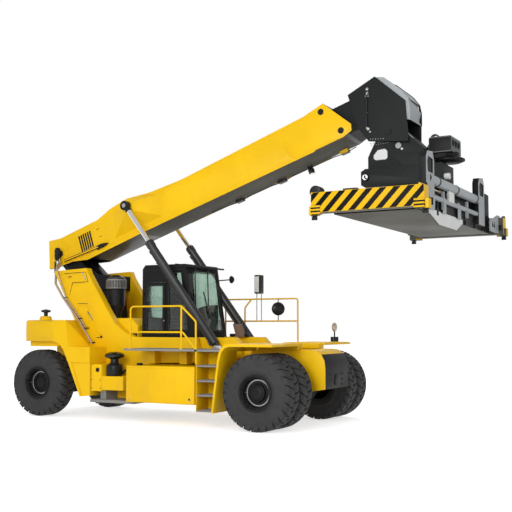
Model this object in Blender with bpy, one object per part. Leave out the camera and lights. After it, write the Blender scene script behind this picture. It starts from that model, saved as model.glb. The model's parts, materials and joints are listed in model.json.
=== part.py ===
"""Reach stacker: a container handler with a telescopic boom, a turning
spreader, twin front wheels and steered rear wheels.

Metres, +Z up, +X forwards, +Y to the driver's left.  Each body has an empty
on its joint, and its pieces are drawn in that empty's own axes.
"""
from math import atan2, cos, hypot, pi, radians, sin

import bmesh
import bpy
from mathutils import Matrix, Vector

# Clearances
SEAT = 0.0003
SLIDE = 0.0005
PIN_FIT = 0.0012
RUNNING = 0.008

# Wheels
TYRE_RADIUS = 0.83
TYRE_WIDTH = 0.525
LUG_DEPTH = 0.045
LUG_COUNT = 20
RIM_RADIUS = 0.36
RIM_LIP = 0.035
TWIN_GAP = 0.09
WHEELBASE = 6.546
FRONT_TRACK = 3.72
REAR_TRACK = 2.74
KINGPIN_Y = 1.0
KINGPIN_RADIUS = 0.06

# Chassis
FRAME_HALF = 0.62
FRAME_WALL = 0.12
FRAME_TOP = 1.72
FRAME_BOTTOM = 0.75
NOSE_X = 0.95
TOWER_IN = 0.8
TOWER_OUT = 1.0
PLATE_TOP = 1.98

# Counterweight, with the cheeks before the rear wheels
BODY_HALF = 1.65
REAR_X = -7.1
ARCH_TOP = 1.87
WEIGHT_TOP = 2.4
CHEEK_FRONT = -4.85
CHEEK_TOP = 1.74
CAP_SPOT = Vector((-6.54, -1.35, 0.0))

# Tanks, side boxes and walkways
TANK_REAR = -3.52
TANK_FRONT = -1.64
TANK_HALF = 1.95
TANK_LOW = 0.5
TANK_TOP = 1.34
SILL_LOW = 0.42
WALK_OUT = 1.93
LEFT_WALK_OUT = 2.03
WALK_IN = 1.06
WALK_TOP = 1.73
WALK_PLATE = 0.05
RAIL_RADIUS = 0.021
FENDER_HALF = 2.1
FENDER_TOP = 1.86
PIPE_RADIUS = 0.03
HOOD_TOP = 2.45

# Cab
CAB_HALF = 0.75
CAB_REAR = -3.95
CAB_FRONT = -2.4
CAB_FLOOR = 1.89
CAB_TOP = 3.75
CAB_WALL = 0.055
ROOF_FRONT = -2.7
GLASS = 0.012
DOOR_REAR = -3.88
DOOR_FRONT = -3.25
DOOR_LOW = 2.0
DOOR_HIGH = 3.32
PANE_LOW = 2.14

# Boom, in its own axes: u along it from the pivot, v square to it, upwards
PIVOT = Vector((-6.85, 0.0, 4.17))
BOOM_ANGLE = radians(18.5)
BOOM_HALF = 0.475
BOOM_WALL = 0.055
BOOM_LOW = -0.44
BOOM_HIGH = 0.39
BOOM_MOUTH = 8.52
PIVOT_PIN = 0.09
LIFT_U = 2.67
LIFT_V = 0.25
FLARE_FACE = 0.80
INNER_START = 1.15
INNER_END = 9.25
INNER_WALL = 0.05

# Lift cylinders
CYLINDER_Y = 0.9
FOOT = Vector((-1.61, 0.0, 1.68))
BARREL_RADIUS = 0.1
BARREL_LENGTH = 3.35
ROD_TRAVEL_IN = 0.76
ROD_RADIUS = 0.0625
EYE_RADIUS = 0.12
EYE_HALF = 0.07
FOOT_PIN = 0.05

# Boom head
LEVEL_PIN = Vector((2.42, 0.0, 6.5))
LEVEL_PIN_RADIUS = 0.075
HEAD_HALF = 0.45
HEAD_PLATE = 0.06
YOKE_HALF = 0.36

# Spreader, in its own axes: x across it, y along it
ROTATOR = Vector((2.93, 0.0, 5.3))
LOCK_LENGTH = 5.853
LOCK_WIDTH = 2.259
SPREADER_LOW = 4.45
BEAM_HEIGHT = 0.4
BEAM_THICK = 0.26
FRAME_LENGTH = 5.2
ARM_WIDTH = 0.25
ARM_HEIGHT = 0.25
ARM_PITCH = 0.4
LOCK_SHAFT = 0.03
CASTING = 0.17

BLACK = (0.02, 0.021, 0.023)
YELLOW = (0.85, 0.53, 0.02)
DARK_GREY = (0.09, 0.095, 0.1)
LIGHT_GREY = (0.55, 0.58, 0.6)
CHROME = (0.75, 0.76, 0.78)
GREEN_GLASS = (0.35, 0.55, 0.45)


def clear_scene():
    """Remove what a new Blender file holds."""
    for item in list(bpy.data.objects):
        bpy.data.objects.remove(item, do_unlink=True)


def material(name, colour, roughness, metallic=0.0):
    """A plain painted, rubber or metal finish."""
    finish = bpy.data.materials.new(name)
    finish.use_nodes = True
    shader = finish.node_tree.nodes["Principled BSDF"]
    shader.inputs["Base Color"].default_value = (*colour, 1.0)
    shader.inputs["Roughness"].default_value = roughness
    shader.inputs["Metallic"].default_value = metallic
    return finish


def joint(name, parent, location, rotation=(0.0, 0.0, 0.0)):
    """An empty on a body's joint, which carries the body's pieces."""
    empty = bpy.data.objects.new("joint_" + name, None)
    bpy.context.scene.collection.objects.link(empty)
    empty.parent = parent
    empty.location = location
    empty.rotation_euler = rotation
    return empty


def shape(bm):
    """A loose object from a bmesh, ready to be joined or cut."""
    bmesh.ops.recalc_face_normals(bm, faces=bm.faces)
    mesh = bpy.data.meshes.new("shape")
    bm.to_mesh(mesh)
    bm.free()
    item = bpy.data.objects.new("shape", mesh)
    bpy.context.scene.collection.objects.link(item)
    return item


def prism(outline, axis, low, high):
    """An outline pushed along X, Y or Z from low to high.

    The outline's points are (y, z), (x, z) or (x, y) for those axes.
    """
    order = {"X": (2, 0, 1), "Y": (0, 2, 1), "Z": (0, 1, 2)}[axis]
    bm = bmesh.new()
    rings = []
    for level in (low, high):
        ring = []
        for a, b in outline:
            point = (a, b, level)
            ring.append(bm.verts.new([point[i] for i in order]))
        rings.append(ring)
    bm.faces.new(rings[0])
    bm.faces.new(reversed(rings[1]))
    count = len(outline)
    for i in range(count):
        j = (i + 1) % count
        bm.faces.new((rings[0][i], rings[1][i], rings[1][j], rings[0][j]))
    return shape(bm)


def box(x, y, z):
    """A block between three pairs of limits."""
    outline = [(x[0], y[0]), (x[1], y[0]), (x[1], y[1]), (x[0], y[1])]
    return prism(outline, "Z", z[0], z[1])


def lathe(profile, sides, axis="Z", centre=(0.0, 0.0, 0.0), turn=0.0):
    """A closed profile of (radius, height) turned about an axis."""
    bm = bmesh.new()
    rings = []
    for radius, height in profile:
        if radius < 1e-6:
            rings.append([bm.verts.new((0.0, 0.0, height))])
            continue
        ring = []
        for k in range(sides):
            angle = turn + 2 * pi * k / sides
            ring.append(bm.verts.new((radius * cos(angle), radius * sin(angle), height)))
        rings.append(ring)
    for first, second in zip(rings, rings[1:] + rings[:1]):
        if len(first) == 1 and len(second) == 1:
            continue
        for k in range(sides):
            n = (k + 1) % sides
            corners = [first[k % len(first)], second[k % len(second)]]
            if len(second) > 1:
                corners.append(second[n])
            if len(first) > 1:
                corners.append(first[n])
            bm.faces.new(corners)
    spin = {"X": Matrix.Rotation(pi / 2, 4, "Y"), "Y": Matrix.Rotation(-pi / 2, 4, "X"), "Z": Matrix()}[axis]
    bm.transform(Matrix.Translation(centre) @ spin)
    return shape(bm)


def rod(start, end, radius, sides=12):
    """A round bar between two points."""
    start = Vector(start)
    run = Vector(end) - start
    bm = bmesh.new()
    bmesh.ops.create_cone(bm, cap_ends=True, segments=sides, radius1=radius, radius2=radius, depth=run.length)
    turn = run.to_track_quat("Z", "Y").to_matrix().to_4x4()
    bm.transform(Matrix.Translation(start + run / 2) @ turn)
    return shape(bm)


def bar(points, radius, sides=6):
    """A round bar bent through some points, with mitred corners."""
    points = [Vector(p) for p in points]
    bm = bmesh.new()
    rings = []
    for i, point in enumerate(points):
        before = (point - points[i - 1]).normalized() if i else None
        after = (points[i + 1] - point).normalized() if i + 1 < len(points) else None
        along = ((before or after) + (after or before)).normalized()
        stretch = 1.0 / max(along.dot(before or after), 0.5)
        side = along.cross(Vector((0.0, 1.0, 0.0)))
        if side.length < 0.3:
            side = along.cross(Vector((1.0, 0.0, 0.0)))
        side.normalize()
        up = along.cross(side).normalized()
        bend = ((after or before) - (before or after))
        bend = bend.normalized() if bend.length > 1e-6 else Vector((0, 0, 0))
        ring = []
        for k in range(sides):
            angle = 2 * pi * (k + 0.5) / sides
            offset = side * cos(angle) * radius + up * sin(angle) * radius
            offset += bend * offset.dot(bend) * (stretch - 1.0)
            ring.append(bm.verts.new(point + offset))
        rings.append(ring)
    for first, second in zip(rings, rings[1:]):
        best = min(range(sides), key=lambda s: sum((first[k].co - second[(k + s) % sides].co).length
                                                   for k in range(sides)))
        for k in range(sides):
            n = (k + 1) % sides
            bm.faces.new((first[k], first[n], second[(n + best) % sides], second[(k + best) % sides]))
    bm.faces.new(rings[0])
    bm.faces.new(rings[-1])
    return shape(bm)


def combine(base, others, operation):
    """Join shapes to the first one, or cut them from it."""
    for other in others:
        step = base.modifiers.new(operation.title(), "BOOLEAN")
        step.operation = operation
        step.solver = "EXACT"
        step.object = other
    depsgraph = bpy.context.evaluated_depsgraph_get()
    mesh = bpy.data.meshes.new_from_object(base.evaluated_get(depsgraph))
    base.modifiers.clear()
    base.data = mesh
    for other in others:
        bpy.data.objects.remove(other, do_unlink=True)
    return base


def join(base, *others):
    """One closed body from shapes that overlap."""
    return combine(base, others, "UNION")


def cut(base, *cutters):
    """A shape with the cutters taken out of it."""
    return combine(base, cutters, "DIFFERENCE")


def moved(item, location=(0.0, 0.0, 0.0), turn=0.0, axis="Z"):
    """Move and turn a shape's mesh."""
    item.data.transform(Matrix.Translation(location) @ Matrix.Rotation(turn, 4, axis))
    return item


def hull(points):
    """The convex solid round some points."""
    bm = bmesh.new()
    for point in points:
        bm.verts.new(point)
    bmesh.ops.convex_hull(bm, input=bm.verts)
    bmesh.ops.dissolve_limit(bm, angle_limit=radians(0.5), verts=bm.verts, edges=bm.edges)
    return shape(bm)


def rounded(item, width, steps, chosen):
    """Round the edges that chosen picks by their two ends."""
    bm = bmesh.new()
    bm.from_mesh(item.data)
    edges = [e for e in bm.edges if chosen(e.verts[0].co, e.verts[1].co)]
    bmesh.ops.bevel(bm, geom=edges, offset=width, segments=steps, profile=0.5, affect="EDGES")
    bm.to_mesh(item.data)
    bm.free()
    return item


def span(side, near, far):
    """The limits across the vehicle of what lies from near to far on a side."""
    return tuple(sorted((side * near, side * far)))


def piece(name, item, finish, body):
    """Name a finished shape, give it its material and hang it on its body."""
    bm = bmesh.new()
    bm.from_mesh(item.data)
    bmesh.ops.remove_doubles(bm, verts=bm.verts, dist=0.00001)
    bmesh.ops.dissolve_degenerate(bm, edges=bm.edges, dist=0.00001)
    bm.to_mesh(item.data)
    bm.free()
    item.name = name
    item.data.name = name
    item.data.materials.clear()
    item.data.materials.append(finish)
    item.data.shade_smooth()
    item.data.set_sharp_from_angle(angle=radians(32))
    item.parent = body
    return item


def boom_point(u, v):
    """A point of the boom at rest, in the vehicle's axes."""
    return PIVOT + Vector((u * cos(BOOM_ANGLE) - v * sin(BOOM_ANGLE), 0.0,
                           u * sin(BOOM_ANGLE) + v * cos(BOOM_ANGLE)))


def boom_local(x, z):
    """A point of the vehicle, in the boom's axes."""
    dx, dz = x - PIVOT.x, z - PIVOT.z
    return (dx * cos(BOOM_ANGLE) + dz * sin(BOOM_ANGLE), dz * cos(BOOM_ANGLE) - dx * sin(BOOM_ANGLE))


def tyre(centre_y):
    """A tyre with deep bars across its tread."""
    half = TYRE_WIDTH / 2
    groove = TYRE_RADIUS - LUG_DEPTH
    # radius, offset from the middle; the two middle ones rise on a lug
    section = [(RIM_RADIUS, -half + 0.03), (0.52, -half), (0.70, -half + 0.005), (groove, -half + 0.045),
               (groove, half - 0.045), (0.70, half - 0.005), (0.52, half), (RIM_RADIUS, half - 0.03)]
    bm = bmesh.new()
    steps = 2 * LUG_COUNT

    def vert(radius, offset, step):
        angle = 2 * pi * step / steps
        return bm.verts.new((radius * cos(angle), centre_y + offset, radius * sin(angle)))

    ground = [[vert(r, o, s) for r, o in section] for s in range(steps)]
    crown = [[vert(TYRE_RADIUS, o, s) for o in (-half + 0.06, half - 0.06)] for s in range(steps)]
    count = len(section)
    for s in range(steps):
        n = (s + 1) % steps
        for i in range(count):
            j = (i + 1) % count
            if i == 3 and s % 2 == 0:
                low, high = crown[s], crown[n]
                bm.faces.new((ground[s][3], ground[n][3], high[0], low[0]))
                bm.faces.new((low[0], high[0], high[1], low[1]))
                bm.faces.new((low[1], high[1], ground[n][4], ground[s][4]))
                bm.faces.new((ground[s][3], low[0], low[1], ground[s][4]))
                bm.faces.new((ground[n][4], high[1], high[0], ground[n][3]))
            else:
                bm.faces.new((ground[s][i], ground[n][i], ground[n][j], ground[s][j]))
    return shape(bm)


def rim(outer_y, inner_y, side, hub_face, disc_y, axle_y):
    """A rim with its hub; side is +1 on the left of the vehicle."""
    radius = RIM_RADIUS - SEAT
    profile = [(0.0, hub_face), (0.17, hub_face), (0.2, hub_face - 0.03), (0.2, disc_y), (radius - 0.03, disc_y),
               (radius - 0.03, outer_y), (radius + RIM_LIP, outer_y + 0.012), (radius + RIM_LIP, outer_y - 0.008),
               (radius, outer_y - 0.03), (radius, inner_y), (radius - 0.03, inner_y), (radius - 0.03, disc_y - 0.05),
               (0.2, disc_y - 0.05), (0.2, axle_y), (0.0, axle_y)]
    return lathe([(r, side * y) for r, y in profile], LUG_COUNT, "Y")


def build_wheels(chassis, knuckles, rubber, iron):
    """Twin wheels on the drive axle, single ones on the steered axle."""
    twin = TYRE_WIDTH + TWIN_GAP
    for side, word in ((-1, "right"), (1, "left")):
        body = joint("wheel_front_" + word, chassis, (0.0, side * FRONT_TRACK / 2, TYRE_RADIUS))
        outer = 0.0
        piece(f"tyre_front_{word}_outer", tyre(side * outer), rubber, body)
        piece(f"tyre_front_{word}_inner", tyre(-side * twin), rubber, body)
        half = TYRE_WIDTH / 2
        hub = rim(half, -twin - half, side, half - 0.06, half - 0.2, -twin - half + 0.02)
        piece("rim_front_" + word, hub, iron, body)
        body = joint("wheel_rear_" + word, knuckles[word], (0.0, side * (REAR_TRACK / 2 - KINGPIN_Y), 0.0))
        piece("tyre_rear_" + word, tyre(0.0), rubber, body)
        hub = rim(half, -half, side, half - 0.12, half - 0.22, half - 0.3)
        piece("rim_rear_" + word, hub, iron, body)


def build_axles(chassis, iron):
    """The drive axle, the steered axle and its two knuckles."""
    inner_face = FRONT_TRACK / 2 - TYRE_WIDTH - TWIN_GAP - TYRE_WIDTH / 2 + 0.02 - SLIDE
    casing = rod((0.0, -inner_face, TYRE_RADIUS), (0.0, inner_face, TYRE_RADIUS), 0.2, 20)
    bowl = rod((0.0, -0.3, TYRE_RADIUS), (0.0, 0.3, TYRE_RADIUS), 0.33, 20)
    pads = box((-0.2, 0.2), (-FRAME_HALF, FRAME_HALF), (TYRE_RADIUS, 1.13 - SEAT))
    piece("drive_axle", join(casing, bowl, pads), iron, chassis)

    knuckle_top = TYRE_RADIUS + 0.14
    knuckle_low = TYRE_RADIUS - 0.14
    beam = prism([(-0.86, TYRE_RADIUS - 0.3), (0.86, TYRE_RADIUS - 0.3), (1.08, TYRE_RADIUS - 0.22),
                  (1.08, TYRE_RADIUS + 0.22), (0.5, TYRE_RADIUS + 0.25), (-0.5, TYRE_RADIUS + 0.25),
                  (-1.08, TYRE_RADIUS + 0.22), (-1.08, TYRE_RADIUS - 0.22)], "X",
                 -WHEELBASE - 0.13, -WHEELBASE + 0.13)
    pad = box((-WHEELBASE - 0.2, -WHEELBASE + 0.2), (-0.3, 0.3), (TYRE_RADIUS, 1.2 - SEAT))
    cutters = []
    for side in (-1, 1):
        spans = sorted((side * 0.85, side * 1.2))
        cutters.append(box((-WHEELBASE - 0.3, -WHEELBASE + 0.3), spans,
                           (knuckle_low - SLIDE, knuckle_top + SLIDE)))
        cutters.append(lathe([(0.0, 0.3), (KINGPIN_RADIUS + PIN_FIT, 0.3), (KINGPIN_RADIUS + PIN_FIT, 1.5), (0.0, 1.5)],
                             24, "Z", (-WHEELBASE, side * KINGPIN_Y, 0.0)))
    piece("steer_axle", cut(join(beam, pad), *cutters), iron, chassis)

    knuckles = {}
    for side, word in ((-1, "right"), (1, "left")):
        body = joint("knuckle_" + word, chassis, (-WHEELBASE, side * KINGPIN_Y, TYRE_RADIUS))
        block = lathe([(0.0, -0.14), (0.1, -0.14), (0.1, 0.14), (0.0, 0.14)], 16)
        pin = lathe([(0.0, -0.25), (KINGPIN_RADIUS, -0.25), (KINGPIN_RADIUS, 0.25), (0.0, 0.25)], 24)
        stub = REAR_TRACK / 2 - KINGPIN_Y + TYRE_WIDTH / 2 - 0.3 - SLIDE
        spindle = rod((0.0, 0.0, 0.0), (0.0, side * stub, 0.0), 0.09, 16)
        piece("knuckle_" + word, join(block, pin, spindle), iron, body)
        knuckles[word] = body
    return knuckles


def build_frame(chassis, paint):
    """The welded chassis with the boom towers and the cylinder feet."""
    plates = []
    nose_top = [(0.55, FRAME_TOP), (0.72, FRAME_TOP - 0.02), (0.85, FRAME_TOP - 0.1), (0.93, FRAME_TOP - 0.24),
                (NOSE_X, FRAME_TOP - 0.42), (NOSE_X, 0.85)]
    side_view = [(-5.6, FRAME_TOP)] + nose_top + [
        (0.62, 0.8), (0.6, 1.0), (0.45, 1.13), (-0.45, 1.13), (-0.62, FRAME_BOTTOM), (-5.0, FRAME_BOTTOM),
        (-5.3, 1.1), (-5.6, 1.2)]
    tower = [(-6.60, 3.67), (-5.53, 3.72), (-5.46, 3.56), (-4.85, 2.66), (-4.60, 2.31), (-4.3, 2.1), (-4.0, PLATE_TOP),
             (-2.25, PLATE_TOP), (-2.1, 1.4), (-3.54, 1.36), (-3.8, FRAME_BOTTOM), (-5.1, FRAME_BOTTOM),
             (-5.3, 1.1), (-5.55, 1.5), (-5.9, 1.5), (-5.9, 2.43)]
    upper_panel = [(-6.48, 3.58), (-5.78, 3.6), (-5.56, 3.3), (-6.3, 3.26)]
    lower_panel = [(-5.76, 2.76), (-5.46, 2.76), (-5.44, 2.56), (-5.84, 2.54)]
    panel_depth = 0.012
    for side in (-1, 1):
        plates.append(prism(side_view, "Y", *span(side, FRAME_HALF - FRAME_WALL, FRAME_HALF)))
        recesses = [prism(panel, "Y", *span(side, TOWER_OUT - panel_depth, TOWER_OUT + 0.1))
                    for panel in (upper_panel, lower_panel)]
        plates.append(cut(prism(tower, "Y", *span(side, TOWER_IN, TOWER_OUT)), *recesses))
        plates.append(bar([(-5.49, side * TOWER_OUT, 2.6), (-5.03, side * TOWER_OUT, 2.02)], 0.016, 6))
        plates.append(box((-5.85, -4.1), span(side, FRAME_HALF - 0.05, TOWER_IN + 0.05), (1.52, 1.7)))
        # the deck's edge runs on inside the cylinder to the fender
        edge = [(-2.38, 1.5), (-2.38, PLATE_TOP), (-1.3, PLATE_TOP), (-1.1, 1.8), (-1.1, 1.5)]
        plates.append(prism(edge, "Y", *span(side, FRAME_HALF - 0.05, CYLINDER_Y - EYE_HALF - 0.055)))
        lug = [(-1.95, 1.4), (-1.27, 1.4), (FOOT.x + 0.14, FOOT.z + 0.02), (FOOT.x + 0.09, FOOT.z + 0.12),
               (FOOT.x - 0.09, FOOT.z + 0.12), (FOOT.x - 0.14, FOOT.z + 0.02)]
        for near, far in ((0.76, CYLINDER_Y - EYE_HALF - SLIDE), (CYLINDER_Y + EYE_HALF + SLIDE, 1.03)):
            plates.append(prism(lug, "Y", *span(side, near, far)))
        plates.append(box((-1.95, -1.27), span(side, FRAME_HALF - 0.05, 1.03), (1.36, 1.5)))
        plates.append(rod((FOOT.x, side * 0.755, FOOT.z), (FOOT.x, side * 1.04, FOOT.z), FOOT_PIN, 16))
    plates.append(prism(nose_top + [(0.62, 0.85)], "Y", -FRAME_HALF + 0.05, FRAME_HALF - 0.05))
    crossings = [((-2.0, -1.3), (0.8, 1.3)), ((-4.9, -4.6), (0.8, 1.0)), ((-5.59, -5.3), (1.25, 1.7))]
    for x, z in crossings:
        plates.append(box(x, (-FRAME_HALF + 0.05, FRAME_HALF - 0.05), z))
    rear = prism([(-5.7, 1.7), (-6.95, 1.84), (-6.95, 1.45), (-6.78, 1.2), (-6.3, 1.2), (-5.4, 1.2), (-5.4, 1.7)],
                 "Y", -0.45, 0.45)
    shelf = box((-6.2, -5.5), (-TOWER_IN - 0.05, TOWER_IN + 0.05), (3.2, 3.58))
    web = prism([(-6.15, 3.3), (-5.55, 3.3), (-5.3, 1.55), (-5.88, 1.55), (-5.88, 2.43)], "Y", -0.62, 0.62)
    web_tie = box((-5.85, -5.35), (-TOWER_IN - 0.05, TOWER_IN + 0.05), (1.55, 1.75))
    lugs = []
    for near in (-0.36, 0.12):
        nose = [(PIVOT.x + 0.24 * cos(a), PIVOT.z + 0.24 * sin(a)) for a in
                [radians(45 + 180 * i / 8) for i in range(9)]]
        outline = nose + [(-6.32, 3.3), (-5.6, 3.3), (-5.75, 3.5)]
        lugs.append(prism(outline, "Y", near, near + 0.24))
    reach = BOOM_HALF + 0.03
    pin = rod((PIVOT.x, -reach, PIVOT.z), (PIVOT.x, reach, PIVOT.z), PIVOT_PIN, 24)
    frame = join(plates[0], *plates[1:], rear, shelf, web, web_tie, *lugs, pin)
    piece("chassis_frame", frame, paint, chassis)


def build_counterweight(chassis, paint):
    """The cast block over the rear wheels, with a cheek before each wheel."""
    front = -5.95
    back = [(REAR_X, BODY_HALF - 0.3), (REAR_X + 0.09, BODY_HALF - 0.1), (REAR_X + 0.3, BODY_HALF),
            (front - 0.05, BODY_HALF)]
    plan = back + [(x, -y) for x, y in reversed(back)]
    block = prism(plan, "Z", ARCH_TOP, WEIGHT_TOP)
    block = rounded(block, 0.05, 2, lambda a, b: min(a.z, b.z) > WEIGHT_TOP - 0.01 and min(a.x, b.x) < REAR_X + 0.31)
    parts = []
    inner = TOWER_OUT + SEAT
    arch = [(-6.05, ARCH_TOP), (-5.92, 1.85), (-5.8, 1.79), (-5.7, 1.68), (-5.62, 1.54), (-5.5, 1.3), (-5.38, 1.04),
            (-5.26, 0.79), (-5.15, 0.54)]
    for side in (-1, 1):
        # a shoulder that draws in from the outer side to the tower
        corners = []
        for z, outer_x, inner_x in ((CHEEK_TOP - 0.03, -5.56, -5.36), (CHEEK_TOP, -5.56, -5.36),
                                    (WEIGHT_TOP, -5.62, -5.84)):
            corners += [(outer_x, side * BODY_HALF, z), (inner_x, side * inner, z)]
        for y in (inner, BODY_HALF):
            corners += [(front - 0.1, side * y, WEIGHT_TOP), (front - 0.1, side * y, ARCH_TOP)]
        shoulder = hull(corners)
        cheek = arch + [(CHEEK_FRONT, 0.57), (CHEEK_FRONT, CHEEK_TOP), (-6.05, CHEEK_TOP + 0.2)]
        cheek = prism(cheek, "Y", *span(side, inner, BODY_HALF))
        over = prism([(-6.2, CHEEK_TOP + 0.3), (-6.2, CHEEK_TOP + 0.16), (-5.6, CHEEK_TOP), (-4.0, CHEEK_TOP),
                      (-4.0, CHEEK_TOP + 0.3)], "Y", *span(side, inner - 0.1, BODY_HALF + 0.1))
        cheek = cut(cheek, over)
        # the wheel's side of the shoulder follows the arch
        gap = prism([(-6.5, 1.3), (-6.5, ARCH_TOP)] + arch[:6], "Y", *span(side, inner - 0.1, BODY_HALF + 0.1))
        parts.append(join(cut(shoulder, gap), cheek))
        recess = prism([(-5.42, 1.36), (CHEEK_FRONT + 0.1, 1.36), (CHEEK_FRONT + 0.1, 0.4), (-5.02, 0.4)], "Y",
                       *span(side, BODY_HALF - 0.025, BODY_HALF + 0.1))
        parts[-1] = cut(parts[-1], recess)
        parts.append(box((REAR_X + 0.2, front), span(side, inner, BODY_HALF - 0.15), (ARCH_TOP - 0.13, ARCH_TOP + 0.05)))
    stand = lathe([(0.0, -0.02), (0.17, -0.02), (0.13, 0.1), (0.05, 0.1), (0.05, 0.19), (0.12, 0.21), (0.12, 0.25),
                   (0.0, 0.28)], 16, "Z", CAP_SPOT + Vector((0.0, 0.0, WEIGHT_TOP)))
    piece("counterweight", join(block, *parts, stand), paint, chassis)


def build_power(chassis, paint, iron):
    """The engine block, its hood, the air cleaner and the precleaner."""
    engine_half = FRAME_HALF - FRAME_WALL - 0.08
    engine = box((-4.85, -3.6), (-engine_half, engine_half), (1.0 + SEAT, 1.7))
    piece("engine_block", engine, iron, chassis)
    side = TOWER_IN - 0.01
    hood = prism([(-5.2, FRAME_TOP + SEAT), (-5.2, HOOD_TOP), (-4.25, HOOD_TOP), (-4.05, HOOD_TOP - 0.2),
                  (-4.05, FRAME_TOP + SEAT)], "Y", -side, side)
    hood = rounded(hood, 0.04, 2, lambda a, b: min(a.z, b.z) > HOOD_TOP - 0.21 and abs(a.y - b.y) < 0.01)
    inside = box((-5.1, -4.2), (-0.7, 0.7), (1.6, HOOD_TOP - 0.15))
    piece("engine_hood", cut(hood, inside), paint, chassis)
    low = HOOD_TOP + SEAT
    cleaner = lathe([(0.0, low), (0.13, low), (0.13, low + 0.08), (0.235, low + 0.32), (0.235, low + 0.72),
                     (0.262, low + 0.75), (0.262, low + 0.96), (0.22, low + 1.04), (0.09, low + 1.1), (0.0, low + 1.1)],
                    18, "Z", (-4.96, -0.5, 0.0))
    piece("air_cleaner", cleaner, iron, chassis)


def build_side_boxes(chassis, paint, iron):
    """The service boxes between cheek and tank, and the precleaner on one."""
    inner = TOWER_OUT + SEAT
    shelf_top = 1.05
    front = TANK_REAR - SEAT
    for side, word in ((-1, "right"), (1, "left")):
        back = box((CHEEK_FRONT + 0.02, front - 0.02), span(side, inner, inner + 0.05), (SILL_LOW, 1.3))
        sill = box((CHEEK_FRONT + 0.005, front - 0.02), span(side, inner, BODY_HALF - 0.03), (SILL_LOW, SILL_LOW + 0.07))
        tall = box((-4.81, -4.49), span(side, inner, BODY_HALF - 0.01), (0.69, 1.33))
        tall = rounded(tall, 0.03, 2, lambda a, b: min(a.z, b.z) > 1.32 or abs(a.z - b.z) > 0.5)
        low = box((-4.52, -3.86), span(side, inner, BODY_HALF - 0.04), (0.72, shelf_top))
        leg = box((-4.62, -4.45), span(side, inner, BODY_HALF - 0.15), (SILL_LOW + 0.05, 0.8))
        stay = box((-3.74, front - 0.02), span(side, inner, BODY_HALF - 0.05), (SILL_LOW + 0.05, 0.98))
        piece("service_box_" + word, join(back, sill, tall, low, leg, stay), paint, chassis)
    profile = [(0.0, 0.0), (0.19, 0.0), (0.195, 0.02), (0.195, 0.24), (0.17, 0.28), (0.12, 0.3), (0.1, 0.38),
               (0.11, 0.45), (0.23, 0.47), (0.245, 0.5), (0.2, 0.55), (0.1, 0.58), (0.0, 0.585)]
    cleaner = lathe(profile, 16, "Z", (-4.28, 0.25 - BODY_HALF, shelf_top + SEAT))
    piece("precleaner", cleaner, iron, chassis)


def build_pipes(chassis, boom, iron):
    """The pipes on the tower with their swivel, and the sleeve on the boom."""
    start = BOOM_HALF + 0.03 + SEAT
    y = -(start + 0.1)
    swivel = join(rod((PIVOT.x, -start, PIVOT.z), (PIVOT.x, y, PIVOT.z), 0.06, 16),
                  lathe([(0.0, -0.2), (0.05, -0.19), (0.075, -0.14), (0.075, 0.1), (0.05, 0.15), (0.0, 0.16)], 16, "Z",
                        (PIVOT.x, y, PIVOT.z)))
    out = -(TOWER_OUT + PIPE_RADIUS + 0.02)
    thick = bar([(PIVOT.x, y, PIVOT.z - 0.1), (PIVOT.x, y, 3.86), (-6.72, -0.8, 3.62), (-6.5, out, 3.34),
                 (-6.24, out, 2.98), (-5.75, out, 2.44), (-5.27, out, 1.81)], PIPE_RADIUS)
    thin = bar([(PIVOT.x + 0.05, y, PIVOT.z - 0.1), (PIVOT.x + 0.09, y, 3.9), (-6.5, -0.92, 3.76), (-6.46, out, 3.7),
                (-6.37, out, 3.48), (-6.14, out, 2.98), (-5.66, out, 2.44), (-5.46, out, 2.18)], 0.018)
    clamps = []
    for x, z in ((-6.2, 2.98), (-5.7, 2.44), (-5.48, 2.2), (-5.28, 1.84)):
        clamps.append(box((x - 0.1, x + 0.12), (out - 0.02, -TOWER_OUT - SEAT), (z - 0.03, z + 0.03)))
    piece("tower_pipes", join(swivel, thick, thin, *clamps), iron, chassis)
    sleeve_radius = 0.034
    side = -(BOOM_HALF + sleeve_radius + SEAT)
    sleeve = bar([(0.1, side, -0.24), (0.5, side, -0.255), (1.28, side, -0.295)], sleeve_radius, 12)
    block = box((1.22, 1.42), (side - 0.03, -BOOM_HALF - SEAT), (-0.35, -0.25))
    piece("boom_sleeve", join(sleeve, block), iron, boom)


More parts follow.
